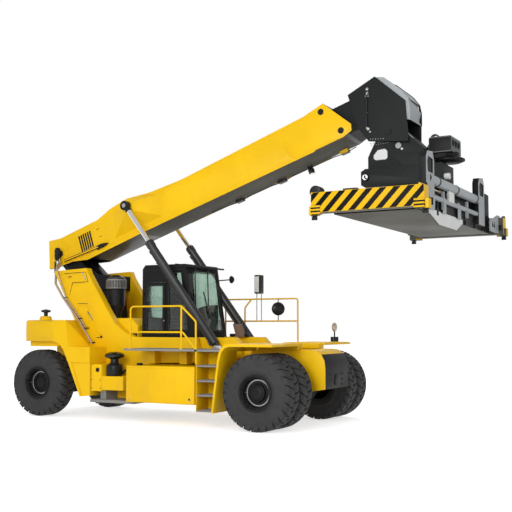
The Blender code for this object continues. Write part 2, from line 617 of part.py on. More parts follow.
def build_sides(chassis, paint, iron):
    """Tanks, walkways with rails and steps, and the front fenders."""
    post = -3.44
    steps_in = 1.42
    for side, word, out in ((-1, "right", WALK_OUT), (1, "left", LEFT_WALK_OUT)):
        tank = box((TANK_REAR, TANK_FRONT), span(side, FRAME_HALF + SEAT, TANK_HALF), (TANK_LOW, TANK_TOP))
        tank = rounded(tank, 0.025, 2, lambda a, b: abs(a.y) > TANK_HALF - 0.01 and abs(b.y) > TANK_HALF - 0.01)
        piece("tank_" + word, tank, paint, chassis)
        tread = [(-3.69, WALK_IN), (TANK_FRONT + 0.05, WALK_IN), (TANK_FRONT + 0.05, out), (-3.56, out),
                 (-3.65, out - 0.05), (-3.69, out - 0.14)]
        deck = prism([(x, side * y) for x, y in tread], "Z", WALK_TOP - WALK_PLATE, WALK_TOP)
        parts = [box((x, x + 0.2), span(side, TOWER_OUT + SEAT, 1.25), (TANK_TOP + 0.02, WALK_TOP - 0.02))
                 for x in (-3.4, -2.5)]
        y = side * (out - RAIL_RADIUS - 0.01)
        foot = WALK_TOP - 0.02
        if side < 0:
            high = 2.7
            parts.append(bar([(post, y, foot), (post, y, high - 0.04), (post + 0.04, y, high), (-2.05, y, high),
                              (-1.98, y, high - 0.04), (-1.65, y, 2.38), (-1.62, y, 2.3), (-1.62, y, 1.4)], RAIL_RADIUS))
            parts.append(bar([(-2.02, y, foot), (-2.02, y, high)], RAIL_RADIUS))
            parts.append(bar([(post, y, 2.11), (-1.98, y, 2.11), (-1.62, y, 1.7)], RAIL_RADIUS))
        else:
            high = 2.96
            middle = 2.38
            last = -1.03
            parts.append(bar([(-3.2, y, foot), (-3.2, y, high), (last, y, high), (last, y, foot)], RAIL_RADIUS))
            parts.append(bar([(-3.2, y, middle), (last, y, middle)], RAIL_RADIUS))
            parts.append(bar([(-2.6, y, foot), (-2.6, y, 2.74), (-2.4, y, high)], RAIL_RADIUS))
            # a tall mirror on two stalks and a round one
            for x in (-2.24, -2.1):
                parts.append(bar([(x, y, middle), (x, y, 3.16)], 0.014, 6))
            glass = box((-2.26, -2.09), (y - 0.12, y + 0.12), (3.1, 3.6))
            parts.append(rounded(glass, 0.04, 2, lambda a, b: abs(a.x - b.x) < 0.01 and abs(a.z - b.z) > 0.3))
            parts.append(bar([(-1.6, y, middle), (-1.6, y, high)], 0.014, 6))
            parts.append(lathe([(0.0, -0.03), (0.17, -0.03), (0.175, 0.0), (0.12, 0.04), (0.0, 0.05)], 20, "X",
                               (-1.6, y, 2.7)))
        parts.append(prism([(-1.6, 0.36), (-1.55, 0.36), (-1.55, WALK_TOP - 0.01), (-1.6, WALK_TOP - 0.01)], "Y",
                           *span(side, steps_in, out)))
        rake = [(-1.165, 0.36), (-1.106, 0.36), (-0.957, 1.5), (-0.957, 1.7), (-1.01, 1.7), (-1.012, 1.5)]
        parts.append(prism(rake, "Y", *span(side, steps_in, out)))
        for z in (0.39, 0.73, 1.05, 1.38):
            parts.append(box((-1.58, -1.12 + 0.13 * (z - 0.36)), span(side, steps_in, out), (z - 0.035, z)))
        parts.append(box((TANK_FRONT - 0.01, -0.98), span(side, WALK_IN, out), (WALK_TOP - WALK_PLATE, WALK_TOP)))
        piece("walkway_" + word, join(deck, *parts), iron, chassis)

        top = FENDER_TOP
        guard = [(-1.1, 0.36), (-0.95, 1.5), (-0.9, 1.7), (-0.8, top - 0.03), (-0.7, top), (0.32, top),
                 (0.39, top - 0.02), (0.39, top - 0.06), (-0.66, top - 0.06), (-0.76, top - 0.09), (-0.84, 1.68),
                 (-0.9, 1.48), (-1.05, 0.36)]
        fender = prism(guard, "Y", *span(side, steps_in, FENDER_HALF))
        roof = prism([(-0.92, 1.7 - 0.02), (-0.8, top - 0.03), (-0.7, top), (0.36, top), (0.36, top - 0.06),
                      (-0.7, top - 0.06), (-0.85, 1.68)], "Y", *span(side, FRAME_HALF + SEAT, steps_in + 0.05))
        tie = box((-0.7, 0.3), span(side, FRAME_HALF - 0.17, FRAME_HALF + 0.08), (FRAME_TOP + SEAT, top - 0.02))
        extras = []
        if side > 0:
            spot = Vector((0.0, FENDER_HALF - 0.1, top))
            extras.append(lathe([(0.0, -0.02), (0.1, -0.02), (0.1, 0.12), (0.0, 0.12)], 12, "Z", spot))
            extras.append(rod(spot, spot + Vector((0.0, 0.0, 0.3)), 0.018, 8))
            extras.append(lathe([(0.0, -0.04), (0.1, -0.03), (0.12, 0.0), (0.1, 0.03), (0.0, 0.04)], 16, "X",
                                spot + Vector((0.0, 0.0, 0.36))))
        piece("fender_" + word, join(fender, roof, tie, *extras), paint, chassis)


def cab_outline(inset):
    """The cab's side view, drawn in by some thickness."""
    slope = (ROOF_FRONT - CAB_FRONT) / (CAB_TOP - CAB_FLOOR)
    low, high = CAB_FLOOR + inset, CAB_TOP - inset
    rear = CAB_REAR + inset

    def front(z):
        return CAB_FRONT + slope * (z - CAB_FLOOR) - inset

    return [(rear, low), (front(low), low), (front(high), high), (rear + 0.08, high), (rear, high - 0.1)]


def build_cab(chassis, black, glass, iron):
    """The hollow cab with its panes, seat, console and door."""
    shell = prism(cab_outline(0.0), "Y", -CAB_HALF, CAB_HALF)
    inner = prism(cab_outline(CAB_WALL), "Y", -CAB_HALF + CAB_WALL, CAB_HALF - CAB_WALL)
    wind = box((-2.9, -2.0), (-CAB_HALF + 0.08, CAB_HALF - 0.08), (2.12, 3.58))
    back = box((-4.1, -3.7), (-CAB_HALF + 0.12, CAB_HALF - 0.12), (2.5, 3.5))
    side_front = [(-3.17, 2.15), (-2.6, 2.15), (-2.8, 3.55), (-3.17, 3.55)]
    side_left = [(-3.82, 2.15), (-2.6, 2.15), (-2.8, 3.55), (-3.82, 3.55)]
    right = prism(side_front, "Y", -CAB_HALF - 0.1, -CAB_HALF + 0.2)
    left = prism(side_left, "Y", CAB_HALF - 0.2, CAB_HALF + 0.1)
    door_way = box((DOOR_REAR, DOOR_FRONT), (-CAB_HALF - 0.1, -CAB_HALF + 0.2), (DOOR_LOW, DOOR_HIGH))
    shell = cut(shell, inner, wind, back, right, left, door_way)
    mount = box((-3.8, -2.7), (-0.5, 0.5), (FRAME_TOP + SEAT, CAB_FLOOR + 0.02))
    visor = prism([(ROOF_FRONT - 0.3, CAB_TOP - 0.04), (ROOF_FRONT + 0.22, CAB_TOP - 0.09),
                   (ROOF_FRONT + 0.22, CAB_TOP - 0.05), (ROOF_FRONT - 0.3, CAB_TOP + 0.02)], "Y", -0.72, 0.72)
    brackets = []
    for z in (DOOR_LOW + 0.15, DOOR_HIGH - 0.25):
        brackets.append(box((DOOR_REAR - 0.03, DOOR_REAR + 0.014), (-CAB_HALF - 0.04, -CAB_HALF + 0.02),
                            (z - 0.05, z - SEAT)))
    mirror = join(rod((-2.7, CAB_HALF - 0.02, 3.4), (-2.38, CAB_HALF + 0.14, 3.43), 0.015, 8),
                  lathe([(0.0, -0.03), (0.09, -0.02), (0.1, 0.0), (0.06, 0.05), (0.0, 0.06)], 14, "X",
                        (-2.36, CAB_HALF + 0.14, 3.43)))
    piece("cab_shell", join(shell, mount, visor, mirror, *brackets), black, chassis)

    gap = SEAT
    slope = (ROOF_FRONT - CAB_FRONT) / (CAB_TOP - CAB_FLOOR)
    low, high = 2.12 + gap, 3.58 - gap
    at = [CAB_FRONT + slope * (z - CAB_FLOOR) - 0.02 for z in (low, high)]
    pane = prism([(at[0], low), (at[1], high), (at[1] - GLASS, high), (at[0] - GLASS, low)], "Y",
                 -CAB_HALF + 0.08 + gap, CAB_HALF - 0.08 - gap)
    piece("glass_front", pane, glass, chassis)
    pane = box((CAB_REAR + 0.02, CAB_REAR + 0.02 + GLASS), (-CAB_HALF + 0.12 + gap, CAB_HALF - 0.12 - gap),
               (2.5 + gap, 3.5 - gap))
    piece("glass_rear", pane, glass, chassis)
    for side, word, start in ((-1, "right", -3.17), (1, "left", -3.82)):
        outline = [(start + gap, 2.15 + gap), (-2.6 - gap, 2.15 + gap), (-2.8 - gap, 3.55 - gap),
                   (start + gap, 3.55 - gap)]
        pane = prism(outline, "Y", *sorted((side * (CAB_HALF - 0.02), side * (CAB_HALF - 0.02 - GLASS))))
        piece("glass_" + word, pane, glass, chassis)

    floor = CAB_FLOOR + CAB_WALL + SEAT
    seat = join(box((-3.65, -3.35), (-0.15, 0.15), (floor, 2.25)), box((-3.75, -3.15), (-0.26, 0.26), (2.2, 2.4)),
                prism([(-3.82, 2.3), (-3.68, 2.3), (-3.72, 3.05), (-3.84, 3.05)], "Y", -0.25, 0.25))
    piece("operator_seat", seat, black, chassis)
    console = join(box((-2.85, -2.62), (-0.3, 0.3), (floor, 2.5)),
                   rod((-2.8, 0.0, 2.45), (-2.98, 0.0, 2.68), 0.025, 10))
    wheel = lathe([(0.17, -0.014), (0.2, -0.014), (0.2, 0.014), (0.17, 0.014)], 20)
    hub = lathe([(0.0, -0.012), (0.04, -0.012), (0.04, 0.012), (0.0, 0.012)], 12)
    spokes = box((-0.185, 0.185), (-0.015, 0.015), (-0.008, 0.008))
    wheel = moved(join(wheel, hub, spokes), (-2.98, 0.0, 2.68), radians(-38), "Y")
    piece("console_and_wheel", join(console, wheel), iron, chassis)

    hinge = joint("cab_door", chassis, (DOOR_REAR, -CAB_HALF - 0.02, 0.0))
    edge = 0.005
    width = DOOR_FRONT - DOOR_REAR
    leaf = box((edge, width - edge), (0.0, CAB_WALL), (DOOR_LOW + edge, DOOR_HIGH - edge))
    window = [(0.07, PANE_LOW), (width - 0.07, PANE_LOW), (width - 0.07, DOOR_HIGH - 0.08),
              (0.07, DOOR_HIGH - 0.08)]
    notches = []
    strap = []
    for z in (DOOR_LOW + 0.15, DOOR_HIGH - 0.25):
        notches.append(box((-0.1, 0.035), (-0.1, 0.2), (z - 0.06, z + 0.13)))
        strap.append(rod((0.0, 0.0, z), (0.0, 0.0, z + 0.12), 0.012, 10))
        strap.append(box((0.0, 0.05), (-0.008, 0.008), (z + 0.02, z + 0.1)))
    leaf = cut(leaf, prism(window, "Y", -0.1, 0.2), *notches)
    piece("cab_door", join(leaf, *strap), black, hinge)
    pane = box((0.07 + gap, width - 0.07 - gap), (0.02, 0.02 + GLASS), (PANE_LOW + gap, DOOR_HIGH - 0.08 - gap))
    piece("glass_door", pane, glass, hinge)


def flare(side):
    """The pyramid that spreads a boom side out to the lift pin."""
    root = [(1.75, -0.3), (3.45, -0.3), (3.5, 0.3), (2.9, 0.5), (2.45, 0.52), (1.9, 0.3)]
    face = [(2.5, 0.06), (2.84, 0.06), (2.86, 0.3), (2.76, 0.42), (2.58, 0.42), (2.48, 0.3)]
    bm = bmesh.new()
    near = [bm.verts.new((u, side * (BOOM_HALF - 0.03), v)) for u, v in root]
    far = [bm.verts.new((u, side * FLARE_FACE, v)) for u, v in face]
    bm.faces.new(near)
    bm.faces.new(far)
    for i in range(len(root)):
        j = (i + 1) % len(root)
        bm.faces.new((near[i], near[j], far[j], far[i]))
    return shape(bm)


def build_boom(boom, extend, yellow, dark):
    """The outer boom with its lift lugs, and the inner boom with its head."""
    top = [(-0.284, 0.475), (0.121, 0.40), (1.43, 0.41), (1.9, 0.532), (2.49, 0.579), (3.2, 0.455), (4.18, BOOM_HIGH),
           (7.75, 0.45), (8.3, 0.53), (8.78, -0.2), (8.74, -0.36), (BOOM_MOUTH, -0.414)]
    bottom = [(2.6, BOOM_LOW), (0.81, -0.47), (0.33, -0.34), (-0.146, -0.31), (-0.487, -0.26)]
    outer = prism(top + bottom, "Y", -BOOM_HALF, BOOM_HALF)
    outer = join(outer, flare(-1), flare(1))
    cavity_low = BOOM_LOW + BOOM_WALL
    cavity_high = BOOM_HIGH - BOOM_WALL
    hollow = BOOM_HALF - BOOM_WALL
    bore = prism([(1.05, cavity_low), (9.5, cavity_low), (9.5, cavity_high), (1.05, cavity_high)], "Y", -hollow, hollow)
    tail = prism([(-1.0, -1.0), (0.9, -1.0), (0.9, 0.32), (-1.0, 0.32)], "Y", -hollow + 0.02, hollow - 0.02)
    eye = lathe([(0.0, -1.0), (PIVOT_PIN + PIN_FIT, -1.0), (PIVOT_PIN + PIN_FIT, 1.0), (0.0, 1.0)], 24, "Y")
    # vents in both sides near the tail, and what hangs on the lower left edge
    vents = []
    for side in (-1, 1):
        for i in range(6):
            u = 0.7 + 0.075 * i
            vents.append(box((u, u + 0.035), span(side, BOOM_HALF - 0.02, BOOM_HALF + 0.1), (-0.2, 0.22)))
    clips = []
    for u in (5.15, 6.4, 8.15):
        clips.append(box((u - 0.1, u + 0.1), (BOOM_HALF - 0.16, BOOM_HALF), (BOOM_LOW - 0.06, BOOM_LOW + 0.05)))
    lamp = join(box((7.15, 7.25), (BOOM_HALF - 0.12, BOOM_HALF - 0.04), (BOOM_LOW - 0.05, BOOM_LOW + 0.05)),
                lathe([(0.0, -0.17), (0.07, -0.17), (0.08, -0.06), (0.05, -0.04), (0.0, -0.04)], 12, "Z",
                      (7.2, BOOM_HALF - 0.08, BOOM_LOW)))
    piece("boom_outer", join(cut(outer, bore, tail, eye, *vents), lamp, *clips), yellow, boom)

    low = cavity_low + SLIDE
    high = cavity_high - RUNNING
    half = hollow - RUNNING
    inner = prism([(INNER_START, low), (INNER_END, low), (INNER_END, high), (INNER_START, high)], "Y", -half, half)
    inner = cut(inner, box((INNER_START - 0.1, 8.6), (-half + INNER_WALL, half - INNER_WALL),
                           (low + INNER_WALL, high - INNER_WALL)))
    # the head's side view, in the vehicle's axes at rest
    corners = [(1.46, 7.43), (2.11, 7.77), (2.80, 7.16), (2.87, 6.24), (1.95, 6.33), (1.70, 6.66)]
    outline = [boom_local(x, z) for x, z in corners]
    head = prism(outline, "Y", -HEAD_HALF, HEAD_HALF)
    room = [boom_local(x, z) for x, z in ((1.5, 6.45), (1.9, 6.85), (2.5, 6.95), (2.75, 6.8), (3.0, 6.66), (3.0, 6.0),
                                         (1.6, 6.0))]
    head = cut(head, prism(room, "Y", -HEAD_HALF + HEAD_PLATE, HEAD_HALF - HEAD_PLATE))
    # a cover stands out between the edges of the side plates, down to the opening
    cover = [boom_local(x, z) for x, z in ((1.98, 7.6), (2.14, 7.765), (2.3, 7.74), (2.72, 7.39), (2.86, 7.2),
                                          (2.9, 7.0), (2.9, 6.72), (2.7, 6.76), (2.6, 7.0))]
    head = join(head, prism(cover, "Y", -HEAD_HALF + HEAD_PLATE, HEAD_HALF - HEAD_PLATE))
    u, v = boom_local(LEVEL_PIN.x, LEVEL_PIN.z)
    eye = lathe([(0.0, -1.0), (LEVEL_PIN_RADIUS + PIN_FIT, -1.0), (LEVEL_PIN_RADIUS + PIN_FIT, 1.0), (0.0, 1.0)],
                24, "Y", (u, 0.0, v))
    piece("boom_inner", cut(join(inner, head), eye), dark, extend)


def build_cylinders(chassis, black, chrome):
    """The two lift cylinders between the chassis and the boom."""
    pin = boom_point(LIFT_U, LIFT_V)
    run = pin - FOOT
    length = hypot(run.x, run.z)
    tilt = -atan2(run.z, run.x)
    for side, word in ((-1, "right"), (1, "left")):
        body = joint("barrel_" + word, chassis, (FOOT.x, side * CYLINDER_Y, FOOT.z), (0.0, tilt, 0.0))
        bore = ROD_RADIUS + 0.001
        tube = lathe([(bore, 0.3), (bore, BARREL_LENGTH), (BARREL_RADIUS + 0.012, BARREL_LENGTH),
                      (BARREL_RADIUS + 0.012, BARREL_LENGTH - 0.15), (BARREL_RADIUS, BARREL_LENGTH - 0.16),
                      (BARREL_RADIUS, 0.2), (0.0, 0.2), (0.0, 0.3)], 20, "X")
        eye = rod((0.0, -EYE_HALF, 0.0), (0.0, EYE_HALF, 0.0), EYE_RADIUS, 20)
        neck = box((0.0, 0.25), (-0.06, 0.06), (-0.08, 0.08))
        hole = rod((0.0, -0.3, 0.0), (0.0, 0.3, 0.0), FOOT_PIN + PIN_FIT, 20)
        piece("lift_barrel_" + word, cut(join(tube, eye, neck), hole), black, body)
        slide = joint("rod_" + word, body, (0.0, 0.0, 0.0))
        inner_end = 0.5 + ROD_TRAVEL_IN
        stem = lathe([(0.0, inner_end), (ROD_RADIUS, inner_end), (ROD_RADIUS, length - 0.05), (0.0, length - 0.05)],
                     20, "X")
        eye = rod((length, -EYE_HALF, 0.0), (length, EYE_HALF, 0.0), EYE_RADIUS, 20)
        stub = rod((length, 0.0, 0.0), (length, -side * (CYLINDER_Y - FLARE_FACE - 0.006), 0.0), 0.055, 16)
        piece("lift_rod_" + word, join(stem, eye, stub), chrome, slide)


def build_yoke(level, dark, iron):
    """The levelled yoke under the boom head and its slewing drive."""
    base = Vector((-LEVEL_PIN.x, 0.0, -LEVEL_PIN.z))
    neck = [(2.22, 6.62), (2.32, 6.74), (2.52, 6.74), (2.64, 6.62), (3.2, 6.05), (3.25, 5.6), (1.9, 5.6), (1.9, 5.98)]
    yoke = prism(neck, "Y", -YOKE_HALF, YOKE_HALF)
    opening = [(2.07, 5.9), (2.32, 5.9), (2.36, 5.94), (2.36, 6.09), (2.3, 6.15), (2.13, 6.13), (2.03, 6.02),
               (2.03, 5.94)]
    yoke = cut(yoke, prism(opening, "Y", -1.0, 1.0))
    gussets = []
    for side in (-1, 1):
        plate = prism([(2.42, 6.06), (3.14, 5.98), (3.16, 5.66), (2.95, 5.5), (2.8, 5.6)], "Y",
                      *span(side, YOKE_HALF - 0.02, YOKE_HALF + 0.022))
        boss = lathe([(0.0, YOKE_HALF - 0.02), (0.09, YOKE_HALF - 0.02), (0.09, YOKE_HALF + 0.02),
                      (0.0, YOKE_HALF + 0.02)], 16, "Y", (2.62, 0.0, 6.18))
        if side < 0:
            boss.data.transform(Matrix.Rotation(pi, 4, "Z") @ Matrix.Translation((-2 * 2.62, 0.0, 0.0)))
        gussets += [plate, boss]
    block = prism([(1.75, 5.36), (1.85, 5.30), (3.6, 5.30), (3.6, 5.72), (1.85, 5.72), (1.75, 5.66)], "Y",
                  -0.42, 0.42)
    lamp = rod((1.88, -0.5, 5.52), (1.88, -0.4, 5.52), 0.075, 14)
    reach = HEAD_HALF + 0.02
    pin = rod((LEVEL_PIN.x, -reach, LEVEL_PIN.z), (LEVEL_PIN.x, reach, LEVEL_PIN.z), LEVEL_PIN_RADIUS, 24)
    bearing = rod((LEVEL_PIN.x, -HEAD_HALF + HEAD_PLATE + SLIDE, LEVEL_PIN.z),
                  (LEVEL_PIN.x, HEAD_HALF - HEAD_PLATE - SLIDE, LEVEL_PIN.z), 0.14, 20)
    piece("rotator_yoke", moved(join(yoke, block, pin, bearing, lamp, *gussets), base), dark, level)
    housing = box((3.215, 3.72), (-0.1, 0.6), (6.0, 6.36))
    housing = rounded(housing, 0.05, 2, lambda a, b: min(a.z, b.z) > 6.35)
    drive = join(housing,
                 box((3.24, 3.6), (0.0, 0.5), (5.9, 6.02)),
                 lathe([(0.0, 5.8), (0.22, 5.8), (0.32, 5.84), (0.32, 5.88), (0.2, 5.94), (0.2, 6.02), (0.0, 6.02)],
                       20, "Z", (3.58, 0.25, 0.0)),
                 rod((3.42, 0.15, 5.66), (3.42, 0.15, 5.9), 0.1, 16))
    drive = cut(drive, box((3.0, 4.0), (-0.5, 0.8), (5.0, 5.72 + SEAT)))
    piece("slewing_drive", moved(drive, base), iron, level)


def build_spreader(turn, shift, ends, locks, paint, dark, light, iron):
    """Carriage, main frame, two telescopic ends and four twistlocks."""
    base = Vector((0.0, 0.0, -ROTATOR.z))
    low = SPREADER_LOW
    top = low + BEAM_HEIGHT
    flange_low = top + 0.13
    flange_top = top + 0.19
    # slewing ring and side-shift carriage
    ring = lathe([(0.0, flange_top + 0.1), (0.62, flange_top + 0.1), (0.62, ROTATOR.z - 0.1), (0.55, ROTATOR.z - 0.06),
                  (0.55, ROTATOR.z - SLIDE), (0.0, ROTATOR.z - SLIDE)], 28)
    plate = box((-0.66, 0.66), (-0.75, 0.75), (flange_top + 0.01, flange_top + 0.14))
    shoes = []
    for side in (-1, 1):
        shoes.append(box(sorted((side * 0.6, side * 0.66)), (-0.75, 0.75), (flange_low - 0.07, flange_top + 0.05)))
        shoes.append(box(sorted((side * 0.5, side * 0.66)), (-0.75, 0.75), (flange_low - 0.07, flange_low - SLIDE)))
    piece("side_shift_carriage", moved(join(ring, plate, *shoes), base), dark, turn)

    # main frame with four channels for the arms
    half = FRAME_LENGTH / 2
    girder = box((-0.86, 0.86), (-half, half), (low, top))
    parts = []
    for side in (-1, 1):
        parts.append(box(sorted((side * 0.4, side * 0.46)), (-1.9, 1.9), (top - 0.05, flange_low + 0.02)))
        parts.append(box(sorted((side * 0.4, side * 0.59)), (-1.9, 1.9), (flange_low, flange_top)))
    girder = join(girder, *parts)
    channels = []
    floor = low + 0.06
    for slot in (-1.5, -0.5, 0.5, 1.5):
        x = slot * ARM_PITCH
        wide = ARM_WIDTH / 2 + RUNNING
        channels.append(box((x - wide, x + wide), (-half - 0.1, half + 0.1), (floor, floor + ARM_HEIGHT + RUNNING)))
    girder = cut(girder, *channels)
    uprights = []
    for y in (-2.1, 1.6):
        post = prism([(y - 0.25, low + 0.1), (y + 0.25, low + 0.1), (y + 0.25, 5.5), (y + 0.16, 5.66), (y - 0.17, 5.62),
                      (y - 0.25, 5.5)], "X", 0.82, 0.96)
        window = prism([(y - 0.14, 5.22), (y + 0.16, 5.22), (y + 0.17, 5.5), (y - 0.1, 5.53), (y - 0.17, 5.42)], "X",
                       0.7, 1.2)
        uprights.append(cut(post, window))
    uprights.append(rod((0.89, -2.1, 5.12), (0.89, 1.6, 5.12), 0.1, 16))
    # valve and cable boxes at the left end
    uprights.append(box((0.5, 0.9), (2.0, 2.45), (top - 0.02, 5.35)))
    # guide plates on the front, one sloped at both ends and two square
    face = 0.86
    skirt = [(-1.95, low + 0.02), (-1.3, low - 0.17), (-0.1, low - 0.17), (0.35, low + 0.02)]
    uprights.append(prism(skirt, "X", face - 0.03, face + 0.012))
    uprights.append(box((face - 0.03, face + 0.012), (-1.95, 0.35), (low, low + 0.1)))
    for y in (-1.05, 0.0):
        uprights.append(prism([(y - 0.12, low + 0.08), (y + 0.12, low + 0.08), (y + 0.12, top - 0.03),
                               (y - 0.02, top + 0.02), (y - 0.12, top + 0.02)], "X", face - 0.02, face + 0.05))
    piece("spreader_frame", moved(join(girder, *uprights), base), light, shift)

    for side, word in ((-1, "right"), (1, "left")):
        body = ends[word]
        lock_y = side * LOCK_LENGTH / 2
        beam = box((-LOCK_WIDTH / 2 - 0.02, LOCK_WIDTH / 2 + 0.02),
                   sorted((lock_y - side * BEAM_THICK / 2, lock_y + side * BEAM_THICK / 2)), (low, top))
        parts = []
        for slot in ((-1.5, 0.5) if side < 0 else (-0.5, 1.5)):
            x = slot * ARM_PITCH
            parts.append(box((x - ARM_WIDTH / 2, x + ARM_WIDTH / 2), sorted((lock_y, -side * 2.4)),
                             (floor + SLIDE, floor + SLIDE + ARM_HEIGHT - 0.002)))
        holes = []
        for across in (-1, 1):
            x = across * LOCK_WIDTH / 2
            parts.append(box((x - CASTING / 2, x + CASTING / 2), (lock_y - CASTING / 2, lock_y + CASTING / 2),
                             (low - 0.04, low + 0.14)))
            holes.append(rod((x, lock_y, low - 0.2), (x, lock_y, low + 0.1), LOCK_SHAFT + 0.0008, 16))
            lock = locks[word, across]
            shaft = lathe([(0.0, low - 0.12), (LOCK_SHAFT, low - 0.12), (LOCK_SHAFT, low + 0.1 - SLIDE),
                           (0.0, low + 0.1 - SLIDE)], 16)
            tip = prism([(-0.05, -0.03), (0.05, -0.03), (0.05, 0.03), (-0.05, 0.03)], "Z", low - 0.13, low - 0.07)
            piece(f"twistlock_{word}_{'front' if across > 0 else 'rear'}",
                  moved(join(shaft, tip), base), iron, lock)
        # a cheek plate that reaches back beside the frame, and a roller guard on top
        cheek_low, cheek_high = low + 0.02, top + 0.05
        reach = (2.75, 2.5, 2.12, 2.06, 2.1)
        heights = (cheek_high, cheek_high - 0.08, cheek_high - 0.14, cheek_high - 0.22, cheek_low)
        outline = [(lock_y, cheek_low), (lock_y, cheek_high)] + [(side * y, z) for y, z in zip(reach, heights)]
        parts.append(prism(outline, "X", 1.0, 1.04))
        parts.append(lathe([(0.0, -0.1), (0.12, -0.1), (0.12, 0.1), (0.0, 0.1)], 16, "Y",
                           (-LOCK_WIDTH / 2 + 0.06, lock_y, top + 0.02)))
        piece("end_beam_" + word, moved(cut(join(beam, *parts), *holes), base), paint, body)


def main():
    """Build the reach stacker with its origin under its middle."""
    clear_scene()
    yellow = material("yellow_paint", YELLOW, 0.35)
    black = material("black_paint", BLACK, 0.4)
    dark = material("dark_grey_paint", DARK_GREY, 0.5)
    light = material("light_grey_paint", LIGHT_GREY, 0.4)
    rubber = material("rubber", BLACK, 0.85)
    iron = material("black_iron", BLACK, 0.55, 0.3)
    chrome = material("chrome", CHROME, 0.15, 1.0)
    glass = material("green_glass", GREEN_GLASS, 0.05)

    tail = boom_point(-0.487, -0.26)
    across = LOCK_WIDTH / 2 + CASTING / 2
    front = ROTATOR.x + across
    middle = (front + min(tail.x, boom_point(-0.284, 0.475).x)) / 2
    chassis = joint("chassis", None, (-middle, 0.0, 0.0))
    knuckles = build_axles(chassis, iron)
    build_wheels(chassis, knuckles, rubber, iron)
    build_frame(chassis, yellow)
    build_counterweight(chassis, yellow)
    build_power(chassis, yellow, iron)
    build_side_boxes(chassis, yellow, iron)
    build_sides(chassis, yellow, iron)
    build_cab(chassis, black, glass, iron)
    build_cylinders(chassis, black, chrome)
    boom = joint("boom_lift", chassis, PIVOT, (0.0, -BOOM_ANGLE, 0.0))
    extend = joint("boom_extend", boom, (0.0, 0.0, 0.0))
    build_boom(boom, extend, yellow, dark)
    build_pipes(chassis, boom, iron)
    level = joint("level", chassis, LEVEL_PIN)
    build_yoke(level, dark, iron)
    turn = joint("rotate", chassis, ROTATOR)
    shift = joint("side_shift", turn, (0.0, 0.0, 0.0))
    ends = {}
    locks = {}
    for side, word in ((-1, "right"), (1, "left")):
        ends[word] = joint("telescope_" + word, shift, (0.0, 0.0, 0.0))
        for across in (-1, 1):
            place = (across * LOCK_WIDTH / 2, side * LOCK_LENGTH / 2, 0.0)
            locks[word, across] = joint(f"lock_{word}_{across}", ends[word], place)
    build_spreader(turn, shift, ends, locks, yellow, dark, light, iron)


main()
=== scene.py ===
"""Looks of a reach stacker: paint, rubber, glass and the small parts on its frame."""
from __future__ import annotations

import json
import logging
from dataclasses import dataclass
from enum import Enum
from math import atan2, cos, hypot, pi, radians, sin
from typing import Callable, Optional, Sequence

import bmesh
import bpy
from mathutils import Matrix, Vector

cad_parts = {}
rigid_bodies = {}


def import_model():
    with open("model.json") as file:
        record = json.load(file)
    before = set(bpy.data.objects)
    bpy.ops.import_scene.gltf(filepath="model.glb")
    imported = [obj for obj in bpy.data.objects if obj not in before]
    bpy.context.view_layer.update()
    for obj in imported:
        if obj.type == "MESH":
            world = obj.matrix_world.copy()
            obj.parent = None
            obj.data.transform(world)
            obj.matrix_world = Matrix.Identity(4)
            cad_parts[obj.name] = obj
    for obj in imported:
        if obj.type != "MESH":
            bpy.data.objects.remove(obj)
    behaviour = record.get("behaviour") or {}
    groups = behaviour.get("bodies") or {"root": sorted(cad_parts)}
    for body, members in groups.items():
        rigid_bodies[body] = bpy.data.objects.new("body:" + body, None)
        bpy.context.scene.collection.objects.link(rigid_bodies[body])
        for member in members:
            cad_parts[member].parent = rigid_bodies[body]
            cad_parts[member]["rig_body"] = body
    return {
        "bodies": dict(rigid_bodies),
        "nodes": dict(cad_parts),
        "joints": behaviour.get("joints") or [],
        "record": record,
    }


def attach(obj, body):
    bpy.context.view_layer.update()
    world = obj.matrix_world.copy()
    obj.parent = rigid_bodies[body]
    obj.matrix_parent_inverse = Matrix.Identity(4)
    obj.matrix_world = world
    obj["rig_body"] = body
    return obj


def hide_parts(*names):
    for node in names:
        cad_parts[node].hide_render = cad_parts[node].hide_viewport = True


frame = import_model()

LOG = logging.getLogger("reach_stacker")
Colour = tuple[float, float, float]
Point = Sequence[float]
Outline = Sequence[tuple[float, float]]

ORIGIN: Point = (0.0, 0.0, 0.0)
AHEAD: Point = (1.0, 0.0, 0.0)
UP: Point = (0.0, 0.0, 1.0)
PURE_WHITE = (1.0, 1.0, 1.0, 1.0)
GRIME = (0.32, 0.27, 0.2, 1.0)
DRY_DUST = (0.16, 0.15, 0.135, 1.0)
SHARP_DEGREES = 32.0
SHAPE_EDGE_DEGREES = 28.0
CAD_EDGE_DEGREES = 30.0
FLAT_DEGREES = 0.4
WELD_DISTANCE = 0.00002


class Kind(Enum):
    """The families of finish, each with its own surface detail."""

    ENAMEL = "enamel"
    RUBBER = "rubber"
    METAL = "metal"
    GLASS = "glass"
    CLOTH = "cloth"
    LENS = "lens"


